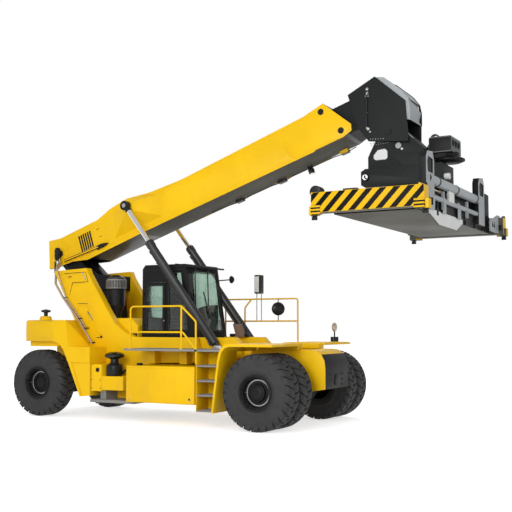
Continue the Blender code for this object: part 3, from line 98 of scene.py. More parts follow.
@dataclass(frozen=True)
class Finish:
    """One finish of the vehicle.

    slot is the record's material slot that the finish belongs to; it is not used.
    shine is the strength of its plain reflection.
    stripes is (second colour, period in metres, direction of the bands).
    """

    name: str
    slot: str
    kind: Kind
    colour: Colour
    roughness: float
    metallic: float = 0.0
    coat: float = 0.0
    # wear: strength of the lighter edges, worn chips that also paint a highlight along the edges
    wear: float = 0.25
    dust: float = 0.08
    shine: float = 0.22
    stripes: Optional[tuple[Colour, float, Point]] = None

    def build(self) -> bpy.types.Material:
        """Make the node material of this finish.

        Returns:
            The new material.
        """
        sheet = NodeSheet(self.name)
        preset(sheet.shader, {"Roughness": self.roughness, "Metallic": self.metallic, "Coat Weight": self.coat,
                              "Coat Roughness": 0.12, "Specular IOR Level": self.shine})
        surfaces = {Kind.ENAMEL: self._enamel, Kind.RUBBER: self._rubber, Kind.METAL: self._metal,
                    Kind.GLASS: self._glass, Kind.CLOTH: self._cloth, Kind.LENS: self._lens}
        surfaces[self.kind](sheet)
        return sheet.material

    def _base(self, sheet: NodeSheet) -> bpy.types.NodeSocket:
        """The colour before dirt, plain or in bands."""
        if self.stripes is None:
            plain = sheet.node("ShaderNodeRGB")
            plain.outputs[0].default_value = (*self.colour, 1.0)
            return plain.outputs[0]
        second, period, direction = self.stripes
        along = sheet.node("ShaderNodeVectorMath", operation="DOT_PRODUCT")
        sheet.join(sheet.place, along.inputs[0])
        along.inputs[1].default_value = tuple(Vector(direction).normalized() / period)
        saw = sheet.math("FRACT", along.outputs["Value"], 0.0)
        band = sheet.math("GREATER_THAN", saw, 0.5)
        return sheet.mix(band, (*self.colour, 1.0), (*second, 1.0))

    def _enamel(self, sheet: NodeSheet) -> None:
        """Sprayed paint: soft tone changes, dust below, and lighter worn edges that also paint a highlight along the
        edges.
        """
        base = self._base(sheet)
        dark = sheet.tint(base, 0.9)
        cloudy = sheet.noise(0.9, 3.0)
        colour = sheet.mix(sheet.spread(cloudy, 0.42, 0.68), base, dark)
        streak = sheet.noise(7.0, 4.0, stretch=(1.0, 1.0, 0.12))
        low = sheet.spread(sheet.height(), 1.7, 0.3)
        grime = sheet.math("MULTIPLY", sheet.spread(streak, 0.4, 0.75), low)
        colour = sheet.mix(sheet.math("MULTIPLY", grime, self.dust), colour, GRIME)
        edge, soft = sheet.edges(0.008)
        # Lighter chips along the edges: worn paint, and also a painted highlight along the edges.
        chip_and_edge_highlight = sheet.math("MULTIPLY", edge, sheet.spread(sheet.noise(30.0, 5.0), 0.45, 0.62))
        chip_and_edge_highlight = sheet.math("MULTIPLY", chip_and_edge_highlight, self.wear)
        lighter = tuple(min(1.0, 0.55 * part + 0.32) for part in self.colour)
        colour = sheet.mix(chip_and_edge_highlight, colour, (*lighter, 1.0))
        sheet.wire("Base Color", colour)
        sheet.wire("Roughness", sheet.spread(cloudy, 0.3, 0.75, self.roughness - 0.04, self.roughness + 0.1))
        sheet.bump(sheet.noise(260.0, 2.0), 0.035, 0.001, soft)

    def _rubber(self, sheet: NodeSheet) -> None:
        """Tyre rubber with dry dust in the low places."""
        base = self._base(sheet)
        cloud = sheet.noise(5.0, 6.0)
        colour = sheet.mix(sheet.spread(cloud, 0.35, 0.75, 0.0, 0.55), base, sheet.tint(base, 1.7))
        fine = sheet.noise(55.0, 6.0)
        dusty = sheet.spread(fine, 0.5, 0.8, 0.0, self.dust)
        sheet.wire("Base Color", sheet.mix(dusty, colour, DRY_DUST))
        sheet.wire("Roughness", sheet.spread(fine, 0.3, 0.7, self.roughness - 0.1, self.roughness + 0.08))
        _, soft = sheet.edges(0.006)
        sheet.bump(fine, 0.25, 0.002, soft)

    def _metal(self, sheet: NodeSheet) -> None:
        """Bare or plated metal with fine drawn marks."""
        base = self._base(sheet)
        marks = sheet.noise(22.0, 6.0, stretch=(1.0, 1.0, 6.0))
        sheet.wire("Base Color", sheet.mix(sheet.spread(marks, 0.35, 0.75, 0.0, 0.6), base, sheet.tint(base, 0.72)))
        low = max(0.03, self.roughness - 0.05)
        sheet.wire("Roughness", sheet.spread(marks, 0.3, 0.8, low, self.roughness + 0.14))
        _, soft = sheet.edges(0.004)
        sheet.bump(sheet.noise(170.0, 3.0), 0.06, 0.001, soft)

    def _glass(self, sheet: NodeSheet) -> None:
        """Tinted glass with a faint film of dust."""
        preset(sheet.shader, {"Base Color": (*self.colour, 1.0), "Transmission Weight": 1.0, "IOR": 1.45})
        film = sheet.noise(3.0, 5.0)
        sheet.wire("Roughness", sheet.spread(film, 0.4, 0.8, self.roughness, self.roughness + 0.06))

    def _lens(self, sheet: NodeSheet) -> None:
        """A lamp lens with its moulded ribs."""
        colour = (*self.colour, 1.0)
        preset(sheet.shader, {"Base Color": colour, "Emission Color": colour, "Emission Strength": 0.35})
        ribs = sheet.node("ShaderNodeTexWave")
        sheet.join(sheet.place, ribs.inputs["Vector"])
        preset(ribs, {"Scale": 30.0})
        sheet.bump(ribs.outputs["Fac"], 0.4, 0.003, None)

    def _cloth(self, sheet: NodeSheet) -> None:
        """Woven upholstery: two crossed threads and a little fluff."""
        heights = []
        for axis in ("X", "Z"):
            wave = sheet.node("ShaderNodeTexWave")
            wave.bands_direction = axis
            preset(wave, {"Scale": 120.0, "Distortion": 1.2})
            sheet.join(sheet.place, wave.inputs["Vector"])
            heights.append(wave.outputs["Fac"])
        weave = sheet.math("MULTIPLY", heights[0], heights[1])
        base = self._base(sheet)
        sheet.wire("Base Color", sheet.mix(weave, base, sheet.tint(base, 1.8)))
        preset(sheet.shader, {"Sheen Weight": 0.3})
        sheet.bump(weave, 0.5, 0.002, None)


def preset(node: bpy.types.Node, values: dict[str, object]) -> None:
    """Set a node's inputs by name."""
    for key, value in values.items():
        node.inputs[key].default_value = value


class Nodes:
    """A node tree, with short calls for its nodes."""

    def __init__(self, tree: bpy.types.NodeTree) -> None:
        """Take up a tree."""
        self.tree = tree

    def node(self, kind: str, **settings: object) -> bpy.types.Node:
        """Add a node and set its properties."""
        made = self.tree.nodes.new(kind)
        for key, value in settings.items():
            setattr(made, key, value)
        return made

    def join(self, source: bpy.types.NodeSocket, target: bpy.types.NodeSocket) -> None:
        """Link two sockets."""
        self.tree.links.new(source, target)

    def feed(self, value: object, target: bpy.types.NodeSocket) -> None:
        """Link a socket or set a plain value."""
        if isinstance(value, bpy.types.NodeSocket):
            self.join(value, target)
        else:
            target.default_value = value

    def math(self, operation: str, first: object, second: object) -> bpy.types.NodeSocket:
        """A Math node on two values."""
        made = self.node("ShaderNodeMath", operation=operation)
        self.feed(first, made.inputs[0])
        self.feed(second, made.inputs[1])
        return made.outputs[0]

    def seen(self, *rays: str) -> bpy.types.NodeSocket:
        """1 for the named kinds of ray, else 0."""
        path = self.node("ShaderNodeLightPath")
        total = path.outputs[rays[0]]
        for ray in rays[1:]:
            total = self.math("MAXIMUM", total, path.outputs[ray])
        return total


class NodeSheet(Nodes):
    """A material's nodes."""

    def __init__(self, name: str) -> None:
        """Start a material with its shader and coordinates.

        Args:
            name: The material's name.
        """
        self.material = bpy.data.materials.new(name)
        self.material.use_nodes = True
        super().__init__(self.material.node_tree)
        self.shader = self.tree.nodes["Principled BSDF"]
        self.place = self.node("ShaderNodeTexCoord").outputs["Object"]

    def wire(self, key: str, source: bpy.types.NodeSocket) -> None:
        """Link a socket to an input of the shader."""
        self.join(source, self.shader.inputs[key])

    def mix(self, factor: object, first: object, second: object) -> bpy.types.NodeSocket:
        """A colour between two colours."""
        made = self.node("ShaderNodeMix", data_type="RGBA")
        for number, value in ((0, factor), (6, first), (7, second)):
            self.feed(value, made.inputs[number])
        return made.outputs[2]

    def tint(self, colour: bpy.types.NodeSocket, strength: float) -> bpy.types.NodeSocket:
        """A colour made darker or lighter."""
        made = self.node("ShaderNodeVectorMath", operation="SCALE")
        self.join(colour, made.inputs[0])
        preset(made, {"Scale": strength})
        return made.outputs[0]

    def spread(self, value: object, low: float, high: float, start: float = 0.0,
               end: float = 1.0) -> bpy.types.NodeSocket:
        """Map a value from low..high to start..end, clamped."""
        made = self.node("ShaderNodeMapRange")
        self.feed(value, made.inputs[0])
        for socket, number in zip(made.inputs[1:5], (low, high, start, end)):
            socket.default_value = number
        return made.outputs[0]

    def noise(self, scale: float, detail: float, stretch: Point = (1.0, 1.0, 1.0)) -> bpy.types.NodeSocket:
        """Noise on the piece's own coordinates."""
        mapping = self.node("ShaderNodeMapping")
        self.join(self.place, mapping.inputs["Vector"])
        preset(mapping, {"Scale": stretch})
        made = self.node("ShaderNodeTexNoise")
        self.join(mapping.outputs[0], made.inputs["Vector"])
        preset(made, {"Scale": scale, "Detail": detail})
        return made.outputs["Fac"]

    def height(self) -> bpy.types.NodeSocket:
        """The height above the ground at rest."""
        split = self.node("ShaderNodeSeparateXYZ")
        self.join(self.place, split.inputs[0])
        return split.outputs["Z"]

    def edges(self, radius: float) -> tuple[bpy.types.NodeSocket, bpy.types.NodeSocket]:
        """A mask of the edges, and the normal that rounds them."""
        soft = self.node("ShaderNodeBevel", samples=4)
        preset(soft, {"Radius": radius})
        true = self.node("ShaderNodeNewGeometry")
        same = self.node("ShaderNodeVectorMath", operation="DOT_PRODUCT")
        self.join(soft.outputs[0], same.inputs[0])
        self.join(true.outputs["Normal"], same.inputs[1])
        return self.spread(same.outputs["Value"], 0.99, 0.8), soft.outputs[0]

    def bump(self, height: bpy.types.NodeSocket, strength: float, distance: float,
             normal: Optional[bpy.types.NodeSocket]) -> None:
        """Raise the surface by a height."""
        made = self.node("ShaderNodeBump")
        preset(made, {"Strength": strength, "Distance": distance})
        self.join(height, made.inputs["Height"])
        if normal is not None:
            self.join(normal, made.inputs["Normal"])
        self.wire("Normal", made.outputs[0])


COAL: Colour = (0.0125, 0.013, 0.0135)
LEMON: Colour = (0.86, 0.515, 0.003)
AMBER: Colour = (0.72, 0.42, 0.006)
PITCH: Colour = (0.004, 0.004, 0.004)
RISING: Point = (0.72, 0.0, -0.69)


class Look(Enum):
    """Every finish on the vehicle."""

    YELLOW = Finish("yellow_enamel", "yellow_paint", Kind.ENAMEL, LEMON, 0.38, coat=0.05, wear=0.12, shine=0.15)
    BLACK = Finish("black_enamel", "black_paint", Kind.ENAMEL, COAL, 0.3, coat=0.04, dust=0.03, wear=0.15, shine=0.16)
    DARK = Finish("dark_grey_enamel", "dark_grey_paint", Kind.ENAMEL, (0.018, 0.019, 0.0195), 0.45, dust=0.03,
                  wear=0.2, shine=0.1)
    LIGHT = Finish("light_grey_enamel", "light_grey_paint", Kind.ENAMEL, (0.36, 0.385, 0.4), 0.5, wear=0.15)
    WHITE = Finish("white_enamel", "light_grey_paint", Kind.ENAMEL, (0.7, 0.71, 0.7), 0.5, wear=0.1)
    UNDER = Finish("grey_primer", "dark_grey_paint", Kind.ENAMEL, (0.1, 0.1, 0.083), 0.6, dust=0.15)
    # A lighter grey for the slewing drive's upper part: painted light on its lit top.
    MIDDLE = Finish("lit_top_grey", "dark_grey_paint", Kind.ENAMEL, (0.1, 0.108, 0.106), 0.45, dust=0.1)
    BROWN = Finish("brown_primer", "iron", Kind.ENAMEL, (0.2, 0.13, 0.09), 0.5)
    IRON = Finish("black_iron", "iron", Kind.ENAMEL, (0.008, 0.008, 0.0085), 0.45, dust=0.03, shine=0.16)
    GLOSS = Finish("gloss_black_enamel", "black_paint", Kind.ENAMEL, (0.012, 0.013, 0.014), 0.42, coat=0.06, wear=0.1,
                   shine=0.5)
    RUBBER = Finish("tyre_rubber", "rubber", Kind.RUBBER, (0.027, 0.027, 0.028), 0.72, dust=0.2, shine=0.3)
    HOSE = Finish("hose_rubber", "iron", Kind.RUBBER, (0.008, 0.008, 0.009), 0.5, dust=0.05, shine=0.35)
    CHROME = Finish("chrome_rod", "chrome", Kind.METAL, (0.78, 0.79, 0.8), 0.08, metallic=1.0)
    STEEL = Finish("zinc_steel", "iron", Kind.METAL, (0.42, 0.42, 0.41), 0.38, metallic=0.85)
    TREAD = Finish("grey_tread", "iron", Kind.METAL, (0.27, 0.265, 0.25), 0.55, metallic=0.3)
    PIPE = Finish("bronze_pipe", "iron", Kind.METAL, (0.52, 0.42, 0.3), 0.3, metallic=0.7, shine=0.4)
    GLASS = Finish("green_glass", "glass", Kind.GLASS, (0.5, 0.62, 0.55), 0.01, shine=0.5)
    CLOTH = Finish("seat_cloth", "seat", Kind.CLOTH, (0.02, 0.021, 0.024), 0.85)
    WHITE_LENS = Finish("white_lens", "glass", Kind.LENS, (0.8, 0.82, 0.8), 0.15, shine=0.5)
    RED_LENS = Finish("red_lens", "glass", Kind.LENS, (0.6, 0.02, 0.012), 0.2, shine=0.5)
    AMBER_LENS = Finish("amber_lens", "glass", Kind.LENS, (0.85, 0.28, 0.01), 0.2, shine=0.5)
    MIRROR = Finish("mirror_glass", "chrome", Kind.METAL, (0.5, 0.53, 0.55), 0.04, metallic=1.0)
    SLANT = Finish("slanted_stripes", "yellow_paint", Kind.ENAMEL, AMBER, 0.45, shine=0.1, stripes=(PITCH, 0.2, RISING))
    LEVEL = Finish("level_stripes", "yellow_paint", Kind.ENAMEL, AMBER, 0.45, shine=0.1, stripes=(PITCH, 0.066, UP))

    def material(self) -> bpy.types.Material:
        """The finish's material, made once."""
        found = bpy.data.materials.get(self.value.name)
        return found or self.value.build()


class Tree(Nodes):
    """A Geometry Nodes tree with named inputs, run on one mesh at a time."""

    def __init__(self, name: str, sockets: dict[str, str]) -> None:
        """Start a tree.

        Args:
            name: The tree's name.
            sockets: Its inputs' names and kinds.
        """
        super().__init__(bpy.data.node_groups.new(name, "GeometryNodeTree"))
        face = self.tree.interface
        face.new_socket("Geometry", in_out="INPUT", socket_type="NodeSocketGeometry")
        self.keys = {key: face.new_socket(key, in_out="INPUT", socket_type="NodeSocket" + kind).identifier
                     for key, kind in sockets.items()}
        face.new_socket("Geometry", in_out="OUTPUT", socket_type="NodeSocketGeometry")
        self.start = self.node("NodeGroupInput")

    def take(self, key: str, target: bpy.types.NodeSocket) -> None:
        """Link one of the tree's own inputs to a socket."""
        self.join(self.start.outputs[key], target)

    def end(self, geometry: bpy.types.NodeSocket) -> None:
        """Realize the instances, set the material and finish the tree."""
        real = self.node("GeometryNodeRealizeInstances")
        paint = self.node("GeometryNodeSetMaterial")
        out = self.node("NodeGroupOutput")
        self.join(geometry, real.inputs[0])
        self.join(real.outputs[0], paint.inputs[0])
        self.take("Finish", paint.inputs["Material"])
        self.join(paint.outputs[0], out.inputs[0])

    def run(self, mesh: bpy.types.Mesh, **values: object) -> bpy.types.Mesh:
        """Run the tree on a mesh.

        Args:
            mesh: The mesh that it starts from.
            values: The tree's inputs by name.

        Returns:
            A new plain mesh.
        """
        carrier = bpy.data.objects.new("carrier", mesh)
        bpy.context.scene.collection.objects.link(carrier)
        step = carrier.modifiers.new("nodes", "NODES")
        step.node_group = self.tree
        for key, value in values.items():
            step[self.keys[key]] = value
        depsgraph = bpy.context.evaluated_depsgraph_get()
        made = bpy.data.meshes.new_from_object(carrier.evaluated_get(depsgraph))
        carrier.modifiers.clear()
        bpy.data.objects.remove(carrier, do_unlink=True)
        return made


def tube_tree() -> Tree:
    """A round tube along a path of edges, with bent corners."""
    tree = Tree("tube_along_path", {"Radius": "Float", "Bend": "Float", "Sides": "Int", "Finish": "Material"})
    line = tree.node("GeometryNodeMeshToCurve")
    bend = tree.node("GeometryNodeFilletCurve", mode="POLY")
    ring = tree.node("GeometryNodeCurvePrimitiveCircle")
    skin = tree.node("GeometryNodeCurveToMesh")
    preset(bend, {"Count": 5, "Limit Radius": True})
    preset(skin, {"Fill Caps": True})
    tree.take("Geometry", line.inputs[0])
    tree.join(line.outputs[0], bend.inputs["Curve"])
    tree.take("Bend", bend.inputs["Radius"])
    tree.take("Sides", ring.inputs["Resolution"])
    tree.take("Radius", ring.inputs["Radius"])
    tree.join(bend.outputs[0], skin.inputs["Curve"])
    tree.join(ring.outputs["Curve"], skin.inputs["Profile Curve"])
    tree.end(skin.outputs[0])
    return tree


def repeat_tree() -> Tree:
    """Copies of a mesh, each moved and turned on from the last."""
    tree = Tree("repeat_in_steps", {"Count": "Int", "Offset": "Vector", "Turn": "Vector", "Finish": "Material"})
    line = tree.node("GeometryNodeMeshLine")
    tree.take("Count", line.inputs["Count"])
    tree.take("Offset", line.inputs["Offset"])
    number = tree.node("GeometryNodeInputIndex")
    turn = tree.node("ShaderNodeVectorMath", operation="SCALE")
    tree.take("Turn", turn.inputs[0])
    tree.join(number.outputs[0], turn.inputs["Scale"])
    copies = tree.node("GeometryNodeInstanceOnPoints")
    tree.join(line.outputs[0], copies.inputs["Points"])
    tree.take("Geometry", copies.inputs["Instance"])
    tree.join(turn.outputs[0], copies.inputs["Rotation"])
    tree.end(copies.outputs[0])
    return tree


TREES: dict[str, Tree] = {}


def aim(centre: Point, direction: Point) -> Matrix:
    """The matrix that turns +Z to a direction and moves it to a centre."""
    turn = Vector(direction).to_track_quat("Z", "Y").to_matrix().to_4x4()
    return Matrix.Translation(Vector(centre)) @ turn


def pair(side: int, near: float, far: float) -> tuple[float, float]:
    """The limits across the vehicle of what lies from near to far on a side."""
    low, high = sorted((side * near, side * far))
    return low, high


def span(middle: float, half: float) -> tuple[float, float]:
    """The limits that lie half to each side of a middle."""
    return middle - half, middle + half


def outward(side: int) -> Point:
    """The direction away from the vehicle's middle on a side."""
    return 0.0, float(side), 0.0


def hoop(near: float, far: float, low: float, high: float) -> Outline:
    """The lathe profile of a flat ring between two radii and two heights."""
    return [(near, low), (far, low), (far, high), (near, high)]


def round_edges(bm: bmesh.types.BMesh, width: float, degrees: float, shortest: float = 0.0) -> None:
    """Bevel the edges that are sharper than an angle and longer than a length."""
    edges = [e for e in bm.edges if e.is_manifold and e.calc_face_angle(0.0) > radians(degrees)
             and e.calc_length() > shortest]
    bmesh.ops.bevel(bm, geom=edges, offset=width, segments=2, profile=0.6, affect="EDGES", clamp_overlap=True)


def show(name: str, mesh: bpy.types.Mesh, looks: Sequence[Look], smooth: float = SHARP_DEGREES) -> bpy.types.Object:
    """Put a mesh in the scene with its finishes.

    Args:
        name: The object's name.
        mesh: Its mesh.
        looks: The finishes that its faces' numbers stand for.
        smooth: Edges sharper than this, in degrees, stay sharp.

    Returns:
        The new object.
    """
    for look in looks:
        mesh.materials.append(look.material())
    mesh.shade_smooth()
    mesh.set_sharp_from_angle(angle=radians(smooth))
    made = bpy.data.objects.new(name, mesh)
    bpy.context.scene.collection.objects.link(made)
    return made


class Solid:
    """A piece in the making, in the axes of one of the vehicle's frames."""

    def __init__(self, name: str, look: Look, frame: Matrix) -> None:
        """Start an empty piece.

        Args:
            name: The piece's name.
            look: The finish of the shapes added first.
            frame: From the piece's axes to the model's.
        """
        self.name = name
        self.frame = frame
        self.bm = bmesh.new()
        self.looks = [look]
        self.current = 0

    def paint(self, look: Look) -> Solid:
        """Choose the finish of the shapes added next."""
        if look not in self.looks:
            self.looks.append(look)
        self.current = self.looks.index(look)
        return self

    def take(self, part: bmesh.types.BMesh, bevel: float = 0.0) -> Solid:
        """Round the edges of a closed shape and add it."""
        bmesh.ops.recalc_face_normals(part, faces=part.faces)
        if bevel > 0.0:
            round_edges(part, bevel, SHAPE_EDGE_DEGREES)
        mesh = bpy.data.meshes.new("part")
        part.to_mesh(mesh)
        part.free()
        return self.add(mesh)

    def add(self, mesh: bpy.types.Mesh, matrix: Optional[Matrix] = None) -> Solid:
        """Add a mesh in the current finish."""
        if matrix is not None:
            mesh.transform(matrix)
        first = len(self.bm.faces)
        self.bm.from_mesh(mesh)
        self.bm.faces.ensure_lookup_table()
        for index in range(first, len(self.bm.faces)):
            self.bm.faces[index].material_index = self.current
        bpy.data.meshes.remove(mesh)
        return self

    def prism(self, outline: Outline, axis: str, low: float, high: float, bevel: float = 0.004) -> Solid:
        """An outline of (y, z), (x, z) or (x, y) pushed along X, Y or Z."""
        order = {"X": (2, 0, 1), "Y": (0, 2, 1), "Z": (0, 1, 2)}[axis]
        part = bmesh.new()
        rings = [[part.verts.new([(a, b, level)[i] for i in order]) for a, b in outline] for level in (low, high)]
        part.faces.new(rings[0])
        part.faces.new(reversed(rings[1]))
        for i in range(len(outline)):
            j = (i + 1) % len(outline)
            part.faces.new((rings[0][i], rings[1][i], rings[1][j], rings[0][j]))
        return self.take(part, bevel)

    def box(self, x: Point, y: Point, z: Point, bevel: float = 0.004) -> Solid:
        """A block between three pairs of limits."""
        outline = [(x[0], y[0]), (x[1], y[0]), (x[1], y[1]), (x[0], y[1])]
        return self.prism(outline, "Z", z[0], z[1], bevel)

    def lathe(self, profile: Outline, centre: Point, axis: Point = UP, sides: int = 32) -> Solid:
        """A closed profile of (radius, height) turned about an axis."""
        part = bmesh.new()
        rings = []
        for radius, height in profile:
            if radius < 1e-6:
                rings.append([part.verts.new((0.0, 0.0, height))])
            else:
                rings.append([part.verts.new((radius * cos(2 * pi * k / sides), radius * sin(2 * pi * k / sides),
                                              height)) for k in range(sides)])
        for first, second in zip(rings, rings[1:] + rings[:1]):
            if len(first) == len(second) == 1:
                continue
            for k in range(sides):
                n = (k + 1) % sides
                corners = [first[k % len(first)], second[k % len(second)]]
                if len(second) > 1:
                    corners.append(second[n])
                if len(first) > 1:
                    corners.append(first[n])
                part.faces.new(corners)
        part.transform(aim(centre, axis))
        return self.take(part)

    def disc(self, rim: Outline, centre: Point, axis: Point = UP, sides: int = 32) -> Solid:
        """A full turned shape: its profile runs from the axis over a rim and back."""
        return self.lathe([(0.0, rim[0][1]), *rim, (0.0, rim[-1][1])], centre, axis, sides)

    def rod(self, start: Point, end: Point, radius: float, sides: int = 16, bevel: float = 0.003) -> Solid:
        """A round bar with chamfered ends."""
        run = Vector(end) - Vector(start)
        length = run.length
        ease = min(bevel, radius * 0.5, length * 0.4)
        rim = [(radius - ease, 0.0), (radius, ease), (radius, length - ease), (radius - ease, length)]
        return self.disc(rim, start, run, sides)

    def rods(self, path: Sequence[Point], radius: float, sides: int = 8, bevel: float = 0.003) -> Solid:
        """Rods from each point of a path to the next."""
        for start, end in zip(path, path[1:]):
            self.rod(start, end, radius, sides, bevel)
        return self

    def tube(self, path: Sequence[Point], radius: float, bend: float = 0.08, sides: int = 12) -> Solid:
        """A tube along a path, by the tube tree."""
        mesh = bpy.data.meshes.new("path")
        mesh.from_pydata([tuple(p) for p in path], [(i, i + 1) for i in range(len(path) - 1)], [])
        made = TREES["tube"].run(mesh, Radius=radius, Bend=bend, Sides=sides,
                                 Finish=self.looks[self.current].material())
        return self.add(made)

    def repeat(self, source: Solid, count: int, offset: Point = ORIGIN, turn: Point = ORIGIN,
               matrix: Optional[Matrix] = None) -> Solid:
        """Add copies of another solid, by the repeat tree."""
        mesh = bpy.data.meshes.new("source")
        source.bm.to_mesh(mesh)
        source.bm.free()
        made = TREES["repeat"].run(mesh, Count=count, Offset=offset, Turn=turn,
                                   Finish=self.looks[self.current].material())
        return self.add(made, matrix)

    def bolts(self, count: int, centre: Point, axis: Point, radius: float, size: float = 0.014) -> Solid:
        """A ring of bolts round an axis."""
        bolt = self.bolt(size, (radius, 0.0, 0.0))
        return self.repeat(bolt, count, turn=(0.0, 0.0, 2 * pi / count), matrix=aim(centre, axis))

    def bolt_row(self, count: int, start: Point, step: Point, axis: Point, size: float = 0.014) -> Solid:
        """A straight row of bolts."""
        place = aim(start, axis)
        offset = place.to_3x3().inverted() @ Vector(step)
        return self.repeat(self.bolt(size, ORIGIN), count, offset=offset, matrix=place)

    def bolt(self, size: float, spot: Point) -> Solid:
        """One bolt head on its washer, upright."""
        made = Solid("bolt", self.looks[self.current], self.frame)
        made.disc([(size * 1.5, 0.0), (size * 1.5, size * 0.25)], spot, sides=12)
        return made.disc([(size, size * 0.2), (size, size * 0.85), (size * 0.8, size)], spot, sides=6)

    def finish(self, body: str, slot: Optional[str] = None, smooth: float = SHARP_DEGREES,
               replaces: Sequence[str] = ()) -> bpy.types.Object:
        """Turn the solid into a piece that rides on a body.

        Args:
            body: The body that carries it.
            slot: The record's slot, or the first finish's own; not used.
            smooth: Edges sharper than this, in degrees, stay sharp.
            replaces: CAD nodes that it stands for.

        Returns:
            The finished piece.
        """
        mesh = bpy.data.meshes.new(self.name)
        self.bm.to_mesh(mesh)
        self.bm.free()
        mesh.transform(self.frame)
        made = show(self.name, mesh, self.looks, smooth)
        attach(made, body)
        if replaces:
            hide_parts(*replaces)
        LOG.info("%s on %s: %d faces", self.name, body, len(mesh.polygons))
        return made


@dataclass(frozen=True)
class Axes:
    """The vehicle's frames. Its own has the front axle at x = 0."""

    middle: float
    pivot: Vector = Vector((-6.85, 0.0, 4.17))
    boom_angle: float = radians(18.5)
    foot: Vector = Vector((-1.61, 0.0, 1.68))
    rod_pin: Vector = Vector((2.67, 0.0, 0.25))
    rotator: Vector = Vector((2.93, 0.0, 5.3))
    cylinder_y: float = 0.9

    @property
    def vehicle(self) -> Matrix:
        """From the front axle's axes to the model's."""
        return Matrix.Translation((self.middle, 0.0, 0.0))

    @property
    def boom(self) -> Matrix:
        """From the boom's axes: x along it from its pivot, z square to it."""
        return self.vehicle @ Matrix.Translation(self.pivot) @ Matrix.Rotation(-self.boom_angle, 4, "Y")

    @property
    def spreader(self) -> Matrix:
        """From the spreader's axes: x across it, y along it, z from the ground."""
        return self.vehicle @ Matrix.Translation((self.rotator.x, 0.0, 0.0))

    def lift_pin(self) -> Vector:
        """The rod's pin on the boom, in the vehicle's axes."""
        return self.pivot + Matrix.Rotation(-self.boom_angle, 3, "Y") @ self.rod_pin

    def barrel(self, side: int) -> tuple[Matrix, float]:
        """A lift cylinder's axes, x along it from its foot, and its length."""
        run = self.lift_pin() - self.foot
        tilt = -atan2(run.z, run.x)
        foot = Matrix.Translation((self.foot.x, side * self.cylinder_y, self.foot.z))
        return self.vehicle @ foot @ Matrix.Rotation(tilt, 4, "Y"), hypot(run.x, run.z)


SIDES = ((-1, "right"), (1, "left"))


@dataclass
class Group:
    """A group of pieces, with the vehicle's frames and the CAD nodes by name."""

    axes: Axes
    nodes: dict[str, bpy.types.Object]

    @property
    def frame(self) -> Matrix:
        """From the group's own axes to the model's."""
        return self.axes.vehicle

    def solid(self, name: str, look: Look) -> Solid:
        """Start a piece in the group's own axes."""
        return Solid(name, look, self.frame)

    def dress(self, name: str, looks: Sequence[Look],
              choose: Callable[[Vector, Vector], int] = lambda centre, normal: 0, bevel: float = 0.0) -> None:
        """Stand a copy of a CAD node, with finishes by place, in for the node.

        Args:
            name: The CAD node's name.
            looks: The finishes to choose from.
            choose: Gives a finish's number from a face's centre and normal, in the group's axes.
            bevel: The rounding of its edges.
        """
        node = self.nodes[name]
        bm = bmesh.new()
        bm.from_mesh(node.data)
        bmesh.ops.remove_doubles(bm, verts=bm.verts, dist=WELD_DISTANCE)
        bmesh.ops.dissolve_limit(bm, angle_limit=radians(FLAT_DEGREES), verts=bm.verts, edges=bm.edges)
        if bevel > 0.0:
            round_edges(bm, bevel, CAD_EDGE_DEGREES, 4 * bevel)
        back = self.frame.inverted()
        turn = back.to_3x3()
        for face in bm.faces:
            face.material_index = choose(back @ face.calc_center_median(), turn @ face.normal)
        mesh = bpy.data.meshes.new(node.name + "_skin")
        bm.to_mesh(mesh)
        bm.free()
        made = show(node.name + "_skin", mesh, looks)
        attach(made, node["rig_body"])
        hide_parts(node.name)


